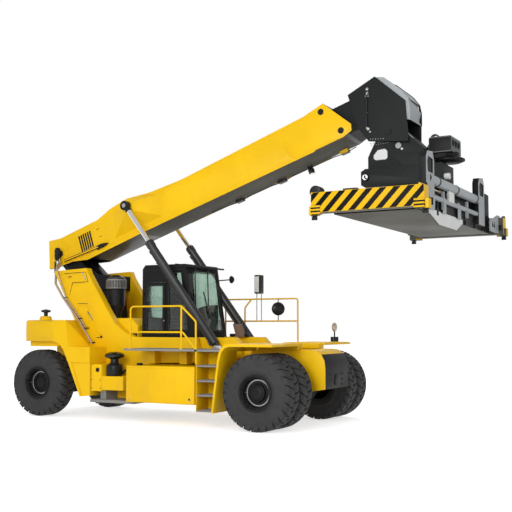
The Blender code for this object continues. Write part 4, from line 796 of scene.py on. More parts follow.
@dataclass
class Studio:
    """Camera, lights, floor and background."""

    lens: float = 63.08
    tilt: float = radians(94.504)
    turn: float = radians(29.148)
    spot: Point = (9.326, -18.785, 2.234)
    sky: float = 0.66
    floor_reach: float = 120.0
    floor_grey: float = 0.8
    floor_glow: float = 0.62

    def build(self, axes: Axes) -> None:
        """Make everything that isn't part of the vehicle.

        Args:
            axes: The vehicle's frames.
        """
        scene = bpy.context.scene
        scene.view_settings.view_transform = "Standard"
        lens = bpy.data.cameras.new("camera")
        lens.lens = self.lens
        lens.sensor_width = 36.0
        lens.clip_end = 300.0
        camera = bpy.data.objects.new("camera", lens)
        scene.collection.objects.link(camera)
        camera.location = axes.vehicle @ Vector(self.spot)
        camera.rotation_euler = (self.tilt, 0.0, self.turn)
        scene.camera = camera
        for lamp in (("key", (3.0, -18.0, 7.0), (0.0, 0.0, 2.5), 9.0, 1700.0),
                     ("front_fill", (18.0, -7.0, 8.0), (2.0, 0.0, 3.0), 8.0, 350.0),
                     ("far_fill", (-8.0, 16.0, 12.0), (0.0, 0.0, 3.0), 9.0, 450.0)):
            self._lamp(*lamp)
        self._world()
        self._floor()

    def _lamp(self, name: str, spot: Point, target: Point, size: float, power: float) -> None:
        """A large soft lamp that points at a target."""
        light = bpy.data.lights.new(name, "AREA")
        light.energy = power
        light.size = size
        lamp = bpy.data.objects.new(name, light)
        bpy.context.scene.collection.objects.link(lamp)
        run = Vector(target) - Vector(spot)
        lamp.matrix_world = Matrix.Translation(spot) @ run.to_track_quat("-Z", "Y").to_matrix().to_4x4()

    def _world(self) -> None:
        """White behind the vehicle, a soft sky for its light."""
        world = bpy.data.worlds.new("studio")
        bpy.context.scene.world = world
        world.use_nodes = True
        nodes = Nodes(world.node_tree)
        sky = nodes.tree.nodes["Background"]
        white = nodes.node("ShaderNodeBackground")
        preset(sky, {"Color": PURE_WHITE, "Strength": self.sky})
        preset(white, {"Color": PURE_WHITE})
        mix = nodes.node("ShaderNodeMixShader")
        seen = nodes.seen("Is Camera Ray", "Is Transmission Ray")
        for number, source in enumerate((seen, sky.outputs[0], white.outputs[0])):
            nodes.join(source, mix.inputs[number])
        nodes.join(mix.outputs[0], nodes.tree.nodes["World Output"].inputs[0])

    def _floor(self) -> None:
        """A pale floor that keeps the vehicle's shadow."""
        mesh = bpy.data.meshes.new("floor")
        far = self.floor_reach
        mesh.from_pydata([(-far, -far, 0), (far, -far, 0), (far, far, 0), (-far, far, 0)], [], [(0, 1, 2, 3)])
        floor = bpy.data.objects.new("floor", mesh)
        bpy.context.scene.collection.objects.link(floor)
        pale = NodeSheet("pale_floor")
        grey = self.floor_grey
        preset(pale.shader, {"Base Color": (grey, grey, grey, 1.0), "Roughness": 0.9, "Emission Color": PURE_WHITE})
        seen = pale.seen("Is Camera Ray", "Is Glossy Ray", "Is Transmission Ray")
        pale.wire("Emission Strength", pale.math("MULTIPLY", seen, self.floor_glow))
        mesh.materials.append(pale.material)


@dataclass
class Wheels(Group):
    """Lugged tyres on bolted rims."""

    radius: float = 0.83
    half: float = 0.2625
    lugs: int = 26
    rim_radius: float = 0.36
    twin: float = 0.615
    bolt_circle: float = 0.272
    front_y: float = 1.86
    rear_x: float = -6.546
    rear_y: float = 1.37

    def build(self) -> None:
        """Make the six tyres and four rims."""
        for side, word in SIDES:
            body = "wheel_front_" + word
            front = (0.0, side * self.front_y, self.radius)
            self._tyre(f"tyre_{word}_outer", front, body, f"tyre_front_{word}_outer")
            inner = (0.0, side * (self.front_y - self.twin), self.radius)
            self._tyre(f"tyre_{word}_inner", inner, body, f"tyre_front_{word}_inner")
            self._rim("rim_front_" + word, front, side, body, self.twin, 0.06)
            body = "wheel_rear_" + word
            rear = (self.rear_x, side * self.rear_y, self.radius)
            self._tyre(f"tyre_{word}_rear", rear, body, "tyre_rear_" + word)
            self._rim("rim_rear_" + word, rear, side, body, 0.0, 0.12)

    def _lug(self, hand: int, frame: Matrix) -> Solid:
        """One curved bar from the tread's middle over the shoulder.

        Args:
            hand: +1 or -1, the half of the tread.
            frame: From the tyre's axes to the model's.

        Returns:
            The bar at the first place round the tyre.
        """
        pitch = 2 * pi / self.lugs
        crown = [(0.8, 0.006), (0.8255, 0.012), (0.829, 0.07), (0.83, 0.13), (0.8265, 0.185), (0.813, 0.226),
                 (0.786, 0.25), (0.745, 0.2615), (0.715, 0.2585)]
        sweep = [0.0, 0.0, 0.05, 0.13, 0.26, 0.4, 0.5, 0.56, 0.58]
        width = [0.36, 0.4, 0.42, 0.43, 0.43, 0.42, 0.4, 0.37, 0.34]
        part = bmesh.new()
        rows = []
        for (radius, y), turn, wide in zip(crown, sweep, width):
            row = []
            for edge, drop in ((-1.0, 0.075), (-1.0, 0.006), (-0.88, 0.0), (0.88, 0.0), (1.0, 0.006), (1.0, 0.075)):
                angle = pitch * (turn + edge * wide) + (pitch / 2 if hand > 0 else 0.0)
                out = radius - drop
                tuck = min(1.0, drop * 12) * 0.4 * max(0.0, y - 0.16)
                row.append(part.verts.new((out * cos(angle), hand * (y - tuck), out * sin(angle))))
            rows.append(row)
        for first, second in zip(rows, rows[1:]):
            for k in range(len(first) - 1):
                part.faces.new((first[k], first[k + 1], second[k + 1], second[k]))
            part.faces.new((first[-1], first[0], second[0], second[-1]))
        part.faces.new(rows[0])
        part.faces.new(rows[-1])
        return Solid("lug", Look.RUBBER, frame).take(part)

    def _tyre(self, name: str, centre: Point, body: str, node: str) -> None:
        """A tyre: a smooth carcass with two staggered rows of lugs."""
        frame = self.axes.vehicle @ Matrix.Translation(centre)
        solid = Solid(name, Look.RUBBER, frame)
        side = [(0.362, 0.2), (0.364, 0.232), (0.385, 0.243), (0.41, 0.243), (0.42, 0.2475), (0.47, 0.2565),
                (0.475, 0.2605), (0.49, 0.2605), (0.495, 0.2575), (0.56, 0.2615), (0.63, 0.2615), (0.69, 0.2555),
                (0.735, 0.242), (0.765, 0.215), (0.78, 0.17), (0.787, 0.1), (0.789, 0.0)]
        profile = side + [(r, -y) for r, y in reversed(side[:-1])]
        solid.lathe(profile, ORIGIN, outward(1), 96)
        for hand in (-1, 1):
            solid.repeat(self._lug(hand, frame), self.lugs, turn=(0.0, -2 * pi / self.lugs, 0.0))
        solid.finish(body, replaces=(node,), smooth=38.0)

    def _rim(self, name: str, centre: Point, side: int, body: str, twin: float, hub: float) -> None:
        """A three-piece rim with its bolted disc and hub."""
        frame = self.axes.vehicle @ Matrix.Translation(centre)
        if side < 0:
            frame = frame @ Matrix.Rotation(pi, 4, "Z")
        out = outward(1)
        solid = Solid(name + "_steel", Look.IRON, frame)
        face = self.half
        disc = face - 0.16
        inner = -twin - face
        rim = self.rim_radius
        profile = [(0.2, disc), (rim - 0.05, disc), (rim - 0.035, disc + 0.02), (rim - 0.03, face - 0.03),
                   (rim - 0.012, face - 0.012), (rim - 0.008, face + 0.004), (rim + 0.012, face + 0.01),
                   (rim + 0.033, face + 0.006), (rim + 0.034, face - 0.008), (rim + 0.01, face - 0.016),
                   (rim - 0.001, face - 0.03), (rim - 0.001, inner + 0.02), (rim + 0.03, inner + 0.006),
                   (rim + 0.03, inner), (rim - 0.03, inner), (rim - 0.03, disc - 0.04), (0.2, disc - 0.04)]
        solid.lathe(profile, ORIGIN, out, 72)
        for radius, height in ((rim + 0.004, face + 0.012), (rim - 0.032, face - 0.05)):
            solid.lathe(hoop(radius - 0.006, radius + 0.006, height - 0.008, height), ORIGIN, out, 72)
        top = face - hub
        cap = [(0.2, disc - 0.14), (0.2, disc + 0.012), (0.19, disc + 0.02), (0.19, top - 0.06), (0.18, top - 0.04),
               (0.15, top - 0.03), (0.142, top - 0.012), (0.12, top), (0.06, top), (0.05, top - 0.01)]
        solid.disc(cap, ORIGIN, out, 48)
        solid.bolts(12, (0.0, top - 0.035, 0.0), out, 0.166, 0.009)
        solid.paint(Look.STEEL)
        circle = self.bolt_circle
        solid.lathe([(circle - 0.013, disc - 0.005), (circle + 0.013, disc - 0.005), (circle + 0.011, disc + 0.004),
                     (circle - 0.011, disc + 0.004)], ORIGIN, out, 60)
        solid.bolts(30, (0.0, disc + 0.003, 0.0), out, circle, 0.0095)
        solid.rod((rim - 0.06, disc, 0.0), (rim - 0.055, disc + 0.05, 0.0), 0.007, 8)
        if twin == 0.0:
            back = disc - 0.141
            solid.paint(Look.IRON).disc([(0.16, back - 0.1), (0.2, back)], ORIGIN, out)
        solid.finish(body, replaces=(name,))


@dataclass
class Walkways(Group):
    """Tread plates, rails and steps on both sides."""

    top: float = 1.73
    plate: float = 0.05
    rail: float = 0.021
    view: Point = (0.64, -0.77, 0.0)

    def build(self) -> None:
        """Make both sides."""
        for side, word, out in ((-1, "right", 1.93), (1, "left", 2.03)):
            self._deck(side, word, out)
            self._rails(side, word, out)
            self._steps(side, word, out)

    def _deck(self, side: int, word: str, out: float) -> None:
        """The grey plate with raised studs on a channel edge."""
        solid = self.solid("walk_plate_" + word, Look.TREAD)
        low, high = self.top - self.plate, self.top - 0.003
        tread = [(-3.69, 1.06), (-1.59, 1.06), (-1.59, out), (-3.56, out), (-3.65, out - 0.05), (-3.69, out - 0.14)]
        solid.prism([(x, side * y) for x, y in tread], "Z", low, high, 0.004)
        solid.box((-1.65, -0.98), pair(side, 1.06, out), (low, high))
        stud = self.solid("stud", Look.TREAD)
        stud.box((-0.014, 0.014), (-0.004, 0.004), (-0.002, 0.003), 0.0)
        row = self.solid("row", Look.TREAD)
        row.repeat(stud, 42, offset=(0.05, 0.0, 0.0))
        solid.repeat(row, 13, offset=(0.0, side * 0.06, 0.0), matrix=Matrix.Translation((-3.6, side * 1.12, high)))
        for x in (-3.4, -2.5):
            solid.paint(Look.YELLOW).box((x, x + 0.2), pair(side, 1.0003, 1.25), (1.36, low))
        solid.finish("chassis", replaces=("walkway_" + word,))

    def _rails(self, side: int, word: str, out: float) -> None:
        """The bent yellow tubes with their feet, and the left side's mirrors."""
        solid = self.solid("rails_" + word, Look.YELLOW)
        y = side * (out - self.rail - 0.01)
        foot = self.top - 0.03
        if side < 0:
            post, high = -3.44, 2.7
            solid.tube([(post, y, foot), (post, y, high), (-2.02, y, high), (-1.63, y, 2.35), (-1.62, y, 1.4)],
                       self.rail, 0.09)
            solid.tube([(-2.02, y, foot), (-2.02, y, high)], self.rail)
            solid.tube([(post, y, 2.11), (-1.98, y, 2.11), (-1.62, y, 1.72)], self.rail, 0.09)
            feet = (post, -2.02)
        else:
            high, middle, last = 2.96, 2.38, -1.03
            solid.tube([(-3.2, y, foot), (-3.2, y, high), (last, y, high), (last, y, foot)], self.rail, 0.06)
            solid.tube([(-3.2, y, middle), (last, y, middle)], self.rail)
            solid.tube([(-2.6, y, foot), (-2.6, y, 2.74), (-2.4, y, high)], self.rail, 0.1)
            solid.paint(Look.LIGHT)
            for x in (-2.24, -2.1):
                solid.tube([(x, y, middle), (x, y, 3.16)], 0.012)
            solid.paint(Look.WHITE).box((-2.25, -2.115), pair(1, y - 0.122, y - 0.117), (3.14, 3.56), 0.001)
            solid.paint(Look.BLACK)
            solid.box((-2.26, -2.09), span(y, 0.12), (3.1, 3.6), 0.03)
            solid.tube([(-1.6, y, middle), (-1.6, y, high)], 0.012)
            solid.lathe([(0.0, -0.03), (0.17, -0.03), (0.175, 0.0), (0.12, 0.04), (0.0, 0.05)], (-1.6, y, 2.7),
                        self.view, 32)
            solid.paint(Look.MIRROR).box((-2.264, -2.258), span(y, 0.1), (3.14, 3.56), 0.002)
            solid.disc([(0.155, -0.034), (0.155, -0.029)], (-1.6, y, 2.7), self.view, 32)
            solid.paint(Look.YELLOW)
            feet = (-3.2, -2.6, last)
        for x in feet:
            solid.box(span(x, 0.05), (y - 0.03, y + 0.025), (self.top - 0.004, self.top + 0.008), 0.002)
        solid.finish("chassis")

    def _steps(self, side: int, word: str, out: float) -> None:
        """The ladder: yellow cheeks, grey toothed treads."""
        solid = self.solid("steps_" + word, Look.YELLOW)
        near = 1.42
        solid.prism([(-1.6, 0.36), (-1.585, 0.36), (-1.585, self.top - 0.01), (-1.6, self.top - 0.01)], "Y",
                    *pair(side, near, out), 0.003)
        rake = [(-1.165, 0.36), (-1.106, 0.36), (-0.957, 1.5), (-0.957, 1.7), (-1.01, 1.7), (-1.012, 1.5)]
        solid.prism(rake, "Y", *pair(side, near, out), 0.008)
        solid.box((-1.59, -1.02), pair(side, near, near + 0.012), (0.36, 1.7), 0.002)
        for z in (0.39, 0.73, 1.05, 1.38):
            front = -1.13 + 0.13 * (z - 0.36)
            solid.paint(Look.TREAD).box((-1.59, front), pair(side, near, out), (z - 0.035, z - 0.002), 0.003)
            tooth = self.solid("tooth", Look.TREAD)
            tooth.box((0.0, 0.4), (-0.003, 0.003), (-0.002, 0.004), 0.0)
            solid.repeat(tooth, 11, offset=(0.0, side * 0.042, 0.0),
                         matrix=Matrix.Translation((-1.57, side * (near + 0.04), z)))
        solid.finish("chassis")


@dataclass
class LiftCylinders(Group):
    """The two cylinders that raise the boom."""

    barrel: float = 0.1
    length: float = 3.35
    rod: float = 0.0625

    def build(self) -> None:
        """Make both cylinders."""
        for side, word in SIDES:
            frame, reach = self.axes.barrel(side)
            self._barrel(side, word, frame)
            self._rod(side, word, frame, reach)

    def _eye(self, bore: float) -> Outline:
        """The profile of an eye with chamfered edges round a bore."""
        return [(bore, -0.07), (0.112, -0.07), (0.12, -0.062), (0.12, 0.062), (0.112, 0.07), (bore, 0.07)]

    def _barrel(self, side: int, word: str, frame: Matrix) -> None:
        """The barrel with its foot eye, gland, ports and oil pipe."""
        r, end = self.barrel, self.length
        solid = Solid("barrel_skin_" + word, Look.GLOSS, frame)
        profile = [(r - 0.02, 0.18), (r, 0.2), (r, end - 0.2), (r + 0.006, end - 0.19), (r + 0.012, end - 0.17),
                   (r + 0.012, end - 0.03), (r, end - 0.012), (r - 0.022, end), (self.rod + 0.001, end),
                   (self.rod + 0.001, end - 0.02)]
        solid.disc(profile, ORIGIN, AHEAD, 40)
        solid.lathe(self._eye(0.052), ORIGIN, outward(1), 40)
        solid.box((0.06, 0.22), (-0.055, 0.055), (-0.075, 0.075), 0.02)
        solid.box((0.24, 0.36), span(0.0, 0.035), (r - 0.01, r + 0.04), 0.008)
        solid.box((end - 0.32, end - 0.22), (-0.03, 0.03), (r - 0.01, r + 0.035), 0.008)
        solid.tube([(0.34, 0.0, r + 0.018), (0.5, 0.0, r + 0.022), (end - 0.5, 0.0, r + 0.022),
                    (end - 0.3, 0.0, r + 0.018)], 0.014, 0.05)
        for x in (0.9, 1.6, 2.3, end - 0.6):
            solid.box(span(x, 0.02), (-0.03, 0.03), (r - 0.005, r + 0.042), 0.006)
        solid.paint(Look.STEEL).bolts(10, (end - 0.001, 0.0, 0.0), AHEAD, 0.088, 0.007)
        solid.disc([(0.03, -0.096), (0.036, -0.09), (0.036, 0.09), (0.03, 0.096)], ORIGIN, outward(1), 24)
        solid.rod((0.3, 0.0, r + 0.03), (0.3, side * 0.06, r + 0.03), 0.016, 12)
        solid.finish("barrel_" + word, replaces=("lift_barrel_" + word,))

    def _rod(self, side: int, word: str, frame: Matrix, reach: float) -> None:
        """The chromed rod with its painted eye."""
        solid = Solid("rod_skin_" + word, Look.CHROME, frame)
        solid.rod((1.2, 0.0, 0.0), (reach - 0.15, 0.0, 0.0), self.rod, 40)
        solid.paint(Look.BLACK)
        solid.lathe([(self.rod - 0.01, -0.2), (self.rod + 0.006, -0.19), (self.rod + 0.014, -0.15),
                     (self.rod + 0.014, -0.05), (self.rod - 0.01, -0.05)], (reach, 0.0, 0.0), AHEAD, 32)
        solid.lathe(self._eye(0.03), (reach, 0.0, 0.0), outward(1), 40)
        solid.rod((reach, 0.0, 0.0), (reach, -side * 0.094, 0.0), 0.054, 24)
        solid.paint(Look.STEEL)
        solid.disc([(0.05, -0.078), (0.056, -0.072), (0.056, 0.072), (0.05, 0.078)], (reach, 0.0, 0.0),
                   outward(1), 32)
        solid.finish("rod_" + word, slot="chrome", replaces=("lift_rod_" + word,))


@dataclass
class Boom(Group):
    """The outer boom with its plates, vents, lamp and lines."""

    half: float = 0.475
    low: float = -0.44
    high: float = 0.39
    mouth: float = 8.52

    @property
    def frame(self) -> Matrix:
        """From the boom's axes to the model's."""
        return self.axes.boom

    def build(self) -> None:
        """Dress the boom and add its fittings."""
        def skin(centre: Vector, normal: Vector) -> int:
            """Grey below, black inside and for the lamp, yellow elsewhere."""
            if centre.z < self.low - 0.02 and 5.0 < centre.x < 8.4:
                return 2
            inside = abs(centre.y) < self.half - 0.04 and self.low + 0.06 < centre.z < self.high - 0.05
            below = normal.z < -0.7 and abs(centre.y) < self.half
            if inside or (below and centre.x < 2.62):
                return 2
            return 1 if below else 0

        self.dress("boom_outer", (Look.YELLOW, Look.UNDER, Look.BLACK), skin, 0.006)
        self.dress("boom_sleeve", (Look.YELLOW, Look.BLACK), lambda c, n: int(c.x > 1.21), 0.004)
        for side, word in SIDES:
            self._plates(side, word)
            self._mouth(side, word)
        self._lamp()
        lines = self.solid("sleeve_lines", Look.BLACK)
        y = -self.half - 0.0533
        for rise in (-0.022, 0.022):
            lines.tube([(0.1, y, rise - 0.24), (0.5, y, rise - 0.255), (1.24, y, rise - 0.293)], 0.012, 0.1, 8)
        lines.lathe([(0.0, 0.0), (0.05, 0.0), (0.036, 0.1), (0.0, 0.2)], (1.42, y + 0.02, -0.3),
                    (1.0, 0.0, -0.04), 16)
        lines.finish("boom")

    def _plates(self, side: int, word: str) -> None:
        """Doubler plates, seams and vents on one side, with painted shade in the vent slots, and the pivot's cap."""
        face = self.half - 0.001
        solid = self.solid("boom_plates_" + word, Look.YELLOW)
        boss = [(0.26 * cos(radians(a)), 0.26 * sin(radians(a))) for a in range(-80, 280, 12)]
        solid.prism(boss, "Y", *pair(side, face, face + 0.014), 0.004)
        for v in (self.low + 0.012, self.high - 0.012):
            solid.box((3.6, self.mouth - 0.75), pair(side, face, face + 0.005), span(v, 0.012), 0.003)
        arc = [(7.25 - 0.16 * sin(radians(a)), 0.02 + 0.38 * cos(radians(a))) for a in range(12, 180, 12)]
        plate = arc + [(7.25, -0.405), (8.46, -0.395), (8.71, -0.34), (8.74, -0.2), (8.28, 0.5),
                       (7.8, 0.43), (7.25, 0.37)]
        solid.prism(plate, "Y", *pair(side, face, face + 0.009), 0.004)
        solid.prism([(1.72, 0.33), (3.6, 0.32), (3.75, 0.0), (3.6, -0.36), (1.6, -0.36), (1.5, 0.0)], "Y",
                    *pair(side, face, face + 0.006), 0.003)
        for x in (4.35, 6.0):
            solid.box(span(x, 0.012), pair(side, face, face + 0.004), (self.low + 0.02, self.high - 0.02), 0.002)
        solid.paint(Look.BLACK)
        # Black strips in the vent slots: painted shade inside the slots' recesses.
        for number in range(6):
            x = 0.7 + 0.075 * number
            solid.box((x - 0.008, x + 0.043), pair(side, face - 0.001, face + 0.003), (-0.21, 0.23), 0.001)
        for x, v in ((1.32, 0.17), (1.36, -0.05)):
            solid.box((x, x + 0.09), pair(side, face, face + 0.003), (v, v + 0.014), 0.001)
        solid.finish("boom")
        out, at = outward(side), side * (self.half + 0.022)
        cap = Solid("pivot_cap_" + word, Look.DARK, self.axes.vehicle @ Matrix.Translation(self.axes.pivot))
        cap.disc([(0.085, 0.0), (0.085, 0.012), (0.078, 0.016)], (0.0, at, 0.0), out)
        cap.bolts(4, (0.0, side * (self.half + 0.036), 0.0), out, 0.055, 0.01)
        cap.finish("chassis", slot="iron")

    def _mouth(self, side: int, word: str) -> None:
        """The wear pads' round adjusters beside the mouth."""
        face = self.half + 0.006
        solid = self.solid("boom_mouth_" + word, Look.BLACK)
        for u, v in ((8.196, 0.364), (8.515, -0.251)):
            solid.disc([(0.072, 0.0), (0.072, 0.014), (0.066, 0.02), (0.03, 0.02), (0.026, 0.03)],
                       (u, side * face, v), outward(side), 28)
        solid.finish("boom", slot="black_paint")

    def _lamp(self) -> None:
        """The work lamp's lens and the cable that the clips hold."""
        solid = self.solid("boom_lamp_lens", Look.WHITE_LENS)
        solid.lathe([(0.0, -0.002), (0.062, -0.002), (0.058, -0.012), (0.03, -0.017), (0.0, -0.018)],
                    (7.2, self.half - 0.08, self.low - 0.168), UP, 24)
        solid.finish("boom")
        line = self.solid("boom_cable", Look.HOSE)
        y = self.half - 0.08
        points = [(4.3, y, self.low - 0.006)]
        for u in (5.15, 6.4, 8.15):
            points += [(u - 0.3, y, self.low - 0.02), (u, y, self.low - 0.05), (u + 0.3, y, self.low - 0.02)]
        line.tube(points, 0.011, 0.2, 8)
        line.finish("boom")


@dataclass
class Head(Group):
    """The boom head on the inner boom, with the yoke that hangs from it."""

    half: float = 0.45
    yoke_half: float = 0.36
    pin: Point = (2.42, 0.0, 6.5)

    def build(self) -> None:
        """Dress the head, the yoke and the slewing drive."""
        def skin(centre: Vector, normal: Vector) -> int:
            """Light grey for the plate between the head's side plates."""
            if centre.x < 1.95 or centre.z < 6.6 or abs(centre.y) > 0.395:
                return 0
            return int(normal.x > 0.2 or normal.z > 0.6 or centre.y * normal.y > 0.1)

        self.dress("boom_inner", (Look.DARK, Look.LIGHT), skin, 0.012)
        self._sides()
        self._front()
        self._yoke()
        self._drive()

    def _sides(self) -> None:
        """Weld seams, fittings and pin caps on the head's side plates."""
        for side, word in SIDES:
            solid = self.solid("head_side_" + word, Look.DARK)
            y = pair(side, self.half - 0.002, self.half + 0.005)
            solid.prism([(1.885, 6.47), (1.905, 6.47), (1.915, 7.53), (1.895, 7.53)], "Y", *y, 0.002)
            seam = [(1.9, 7.05), (1.76, 6.98), (1.66, 6.85), (1.6, 6.7)]
            for (x, z), (next_x, next_z) in zip(seam, seam[1:]):
                solid.prism([(x, z), (x, z + 0.016), (next_x, next_z + 0.016), (next_x, next_z)], "Y", *y, 0.001)
            out = outward(side)
            face = side * (self.half + 0.001)
            solid.paint(Look.STEEL)
            for x, z, size in ((1.935, 7.5, 0.036), (1.945, 7.42, 0.022), (1.93, 6.97, 0.016), (1.955, 6.6, 0.036),
                               (2.0, 6.53, 0.024)):
                solid.disc([(size, 0.0), (size, 0.02), (size * 0.6, 0.03)], (x, face, z), out, 14)
            for z in (7.33, 7.36):
                solid.box((1.88, 1.97), pair(side, self.half, self.half + 0.012), (z, z + 0.01), 0.002)
            for z, turn in ((7.4, 1), (6.61, -1)):
                solid.rod((1.93, side * (self.half - 0.002), z), (1.93, side * (self.half + 0.036), z), 0.02, 12)
                solid.rod((1.93, side * (self.half + 0.028), z + 0.02 * turn),
                          (1.93, side * (self.half + 0.028), z - 0.03 * turn), 0.02, 12)
            solid.bolt_row(6, (2.0, face, 6.37), (0.06, 0.0, -0.004), out, 0.007)
            solid.finish("inner_boom")

    def _front(self) -> None:
        """The dark far edge and the seams of the light cover."""
        solid = self.solid("head_cover_edges", Look.IRON)
        ridge = [(2.14, 7.752), (2.3, 7.73), (2.71, 7.385), (2.848, 7.196), (2.888, 6.998), (2.888, 6.725)]
        solid.tube([(x, 0.378, z) for x, z in ridge], 0.024, 0.04, 10)
        solid.paint(Look.DARK)
        for x, z in ((2.705, 7.385), (2.852, 7.19)):
            solid.rod((x, -0.37, z), (x, 0.37, z), 0.012, 8)
        solid.finish("inner_boom")

    def _yoke(self) -> None:
        """The yoke with its bosses, bolts, openings and lamp."""
        def skin(centre: Vector, normal: Vector) -> int:
            """Black for the lamp."""
            return int(centre.y < -0.43 and centre.x < 2.0)

        self.dress("rotator_yoke", (Look.DARK, Look.BLACK), skin, 0.008)
        solid = self.solid("yoke_detail", Look.DARK)
        for side, _ in SIDES:
            out = outward(side)
            face = self.yoke_half + 0.018
            solid.paint(Look.LIGHT)
            solid.disc([(0.068, 0.0), (0.068, 0.002), (0.062, 0.005)], (2.62, side * (face + 0.001), 6.18), out, 24)
            for x, z in ((1.97, 6.29), (1.99, 6.245)):
                solid.bolt_row(8, (x, side * (face - 0.017), z), (0.055, 0.0, 0.004), out, 0.008)
            solid.paint(Look.WHITE)
            solid.rod((2.7, side * (face - 0.02), 6.1), (2.7, side * (face + 0.006), 6.1), 0.026, 14)
            hole = [(2.075, 5.905), (2.318, 5.905), (2.355, 5.942), (2.355, 6.088), (2.298, 6.145), (2.132, 6.125),
                    (2.035, 6.018), (2.035, 5.942)]
            solid.prism(hole, "Y", *pair(side, self.yoke_half - 0.02, self.yoke_half - 0.004), 0.002)
            solid.paint(Look.DARK)
            solid.bolts(4, (self.pin[0], side * (self.half + 0.019), self.pin[2]), out, 0.045, 0.009)
            solid.bolt_row(7, (1.98, side * 0.4195, 5.63), (0.25, 0.0, 0.0), out, 0.012)
            solid.box((1.95, 3.55), pair(side, 0.419, 0.426), (5.32, 5.36), 0.003)
        solid.paint(Look.LIGHT)
        solid.prism([(2.68, 6.58), (2.93, 6.326), (2.936, 6.332), (2.686, 6.586)], "Y", -0.345, -0.19, 0.002)
        solid.finish("yoke")
        lens = self.solid("yoke_lamp_lens", Look.WHITE_LENS)
        lens.lathe([(0.0, 0.0), (0.062, 0.0), (0.058, 0.006), (0.03, 0.01), (0.0, 0.011)], (1.88, -0.5, 5.52),
                   (0.0, -1.0, 0.0), 28)
        lens.paint(Look.IRON)
        for x, z in (((1.86, 1.9), (5.5, 5.56)), ((1.88, 1.93), (5.475, 5.5))):
            lens.box(x, (-0.514, -0.508), z, 0.003)
        lens.finish("yoke")

    def _drive(self) -> None:
        """The slewing motor's housing, a lighter grey on its upper part as painted light from above, with its covers, a
        painted highlight along its top front edge, and its pipes.
        """
        # The housing's upper part in a lighter grey: painted light from above.
        self.dress("slewing_drive", (Look.IRON, Look.MIDDLE), lambda c, n: int(c.z > 6.0), 0.006)
        solid = self.solid("slewing_detail", Look.IRON)
        solid.bolts(8, (3.58, 0.25, 5.878), UP, 0.27, 0.011)
        for y in (0.02, 0.22, 0.42):
            solid.disc([(0.075, 0.0), (0.075, 0.012), (0.06, 0.02), (0.03, 0.02), (0.026, 0.03)],
                       (3.72, y, 6.2), AHEAD, 24)
        solid.box((3.225, 3.71), (-0.106, -0.099), (6.03, 6.32), 0.004)
        # A light grey strip along the top front edge: a painted highlight.
        solid.paint(Look.LIGHT)
        solid.box((3.716, 3.724), (-0.08, 0.58), (6.31, 6.335), 0.002)
        solid.paint(Look.WHITE)
        solid.rod((3.601, -0.25, 5.43), (3.72, -0.25, 5.43), 0.07, 24, 0.006)
        solid.paint(Look.HOSE)
        for y in (0.02, 0.1):
            solid.tube([(3.4, y, 6.3), (3.4, y, 6.42), (3.25, y, 6.42), (3.18, y, 6.2), (3.1, y, 6.1)], 0.014, 0.08)
        solid.finish("yoke")


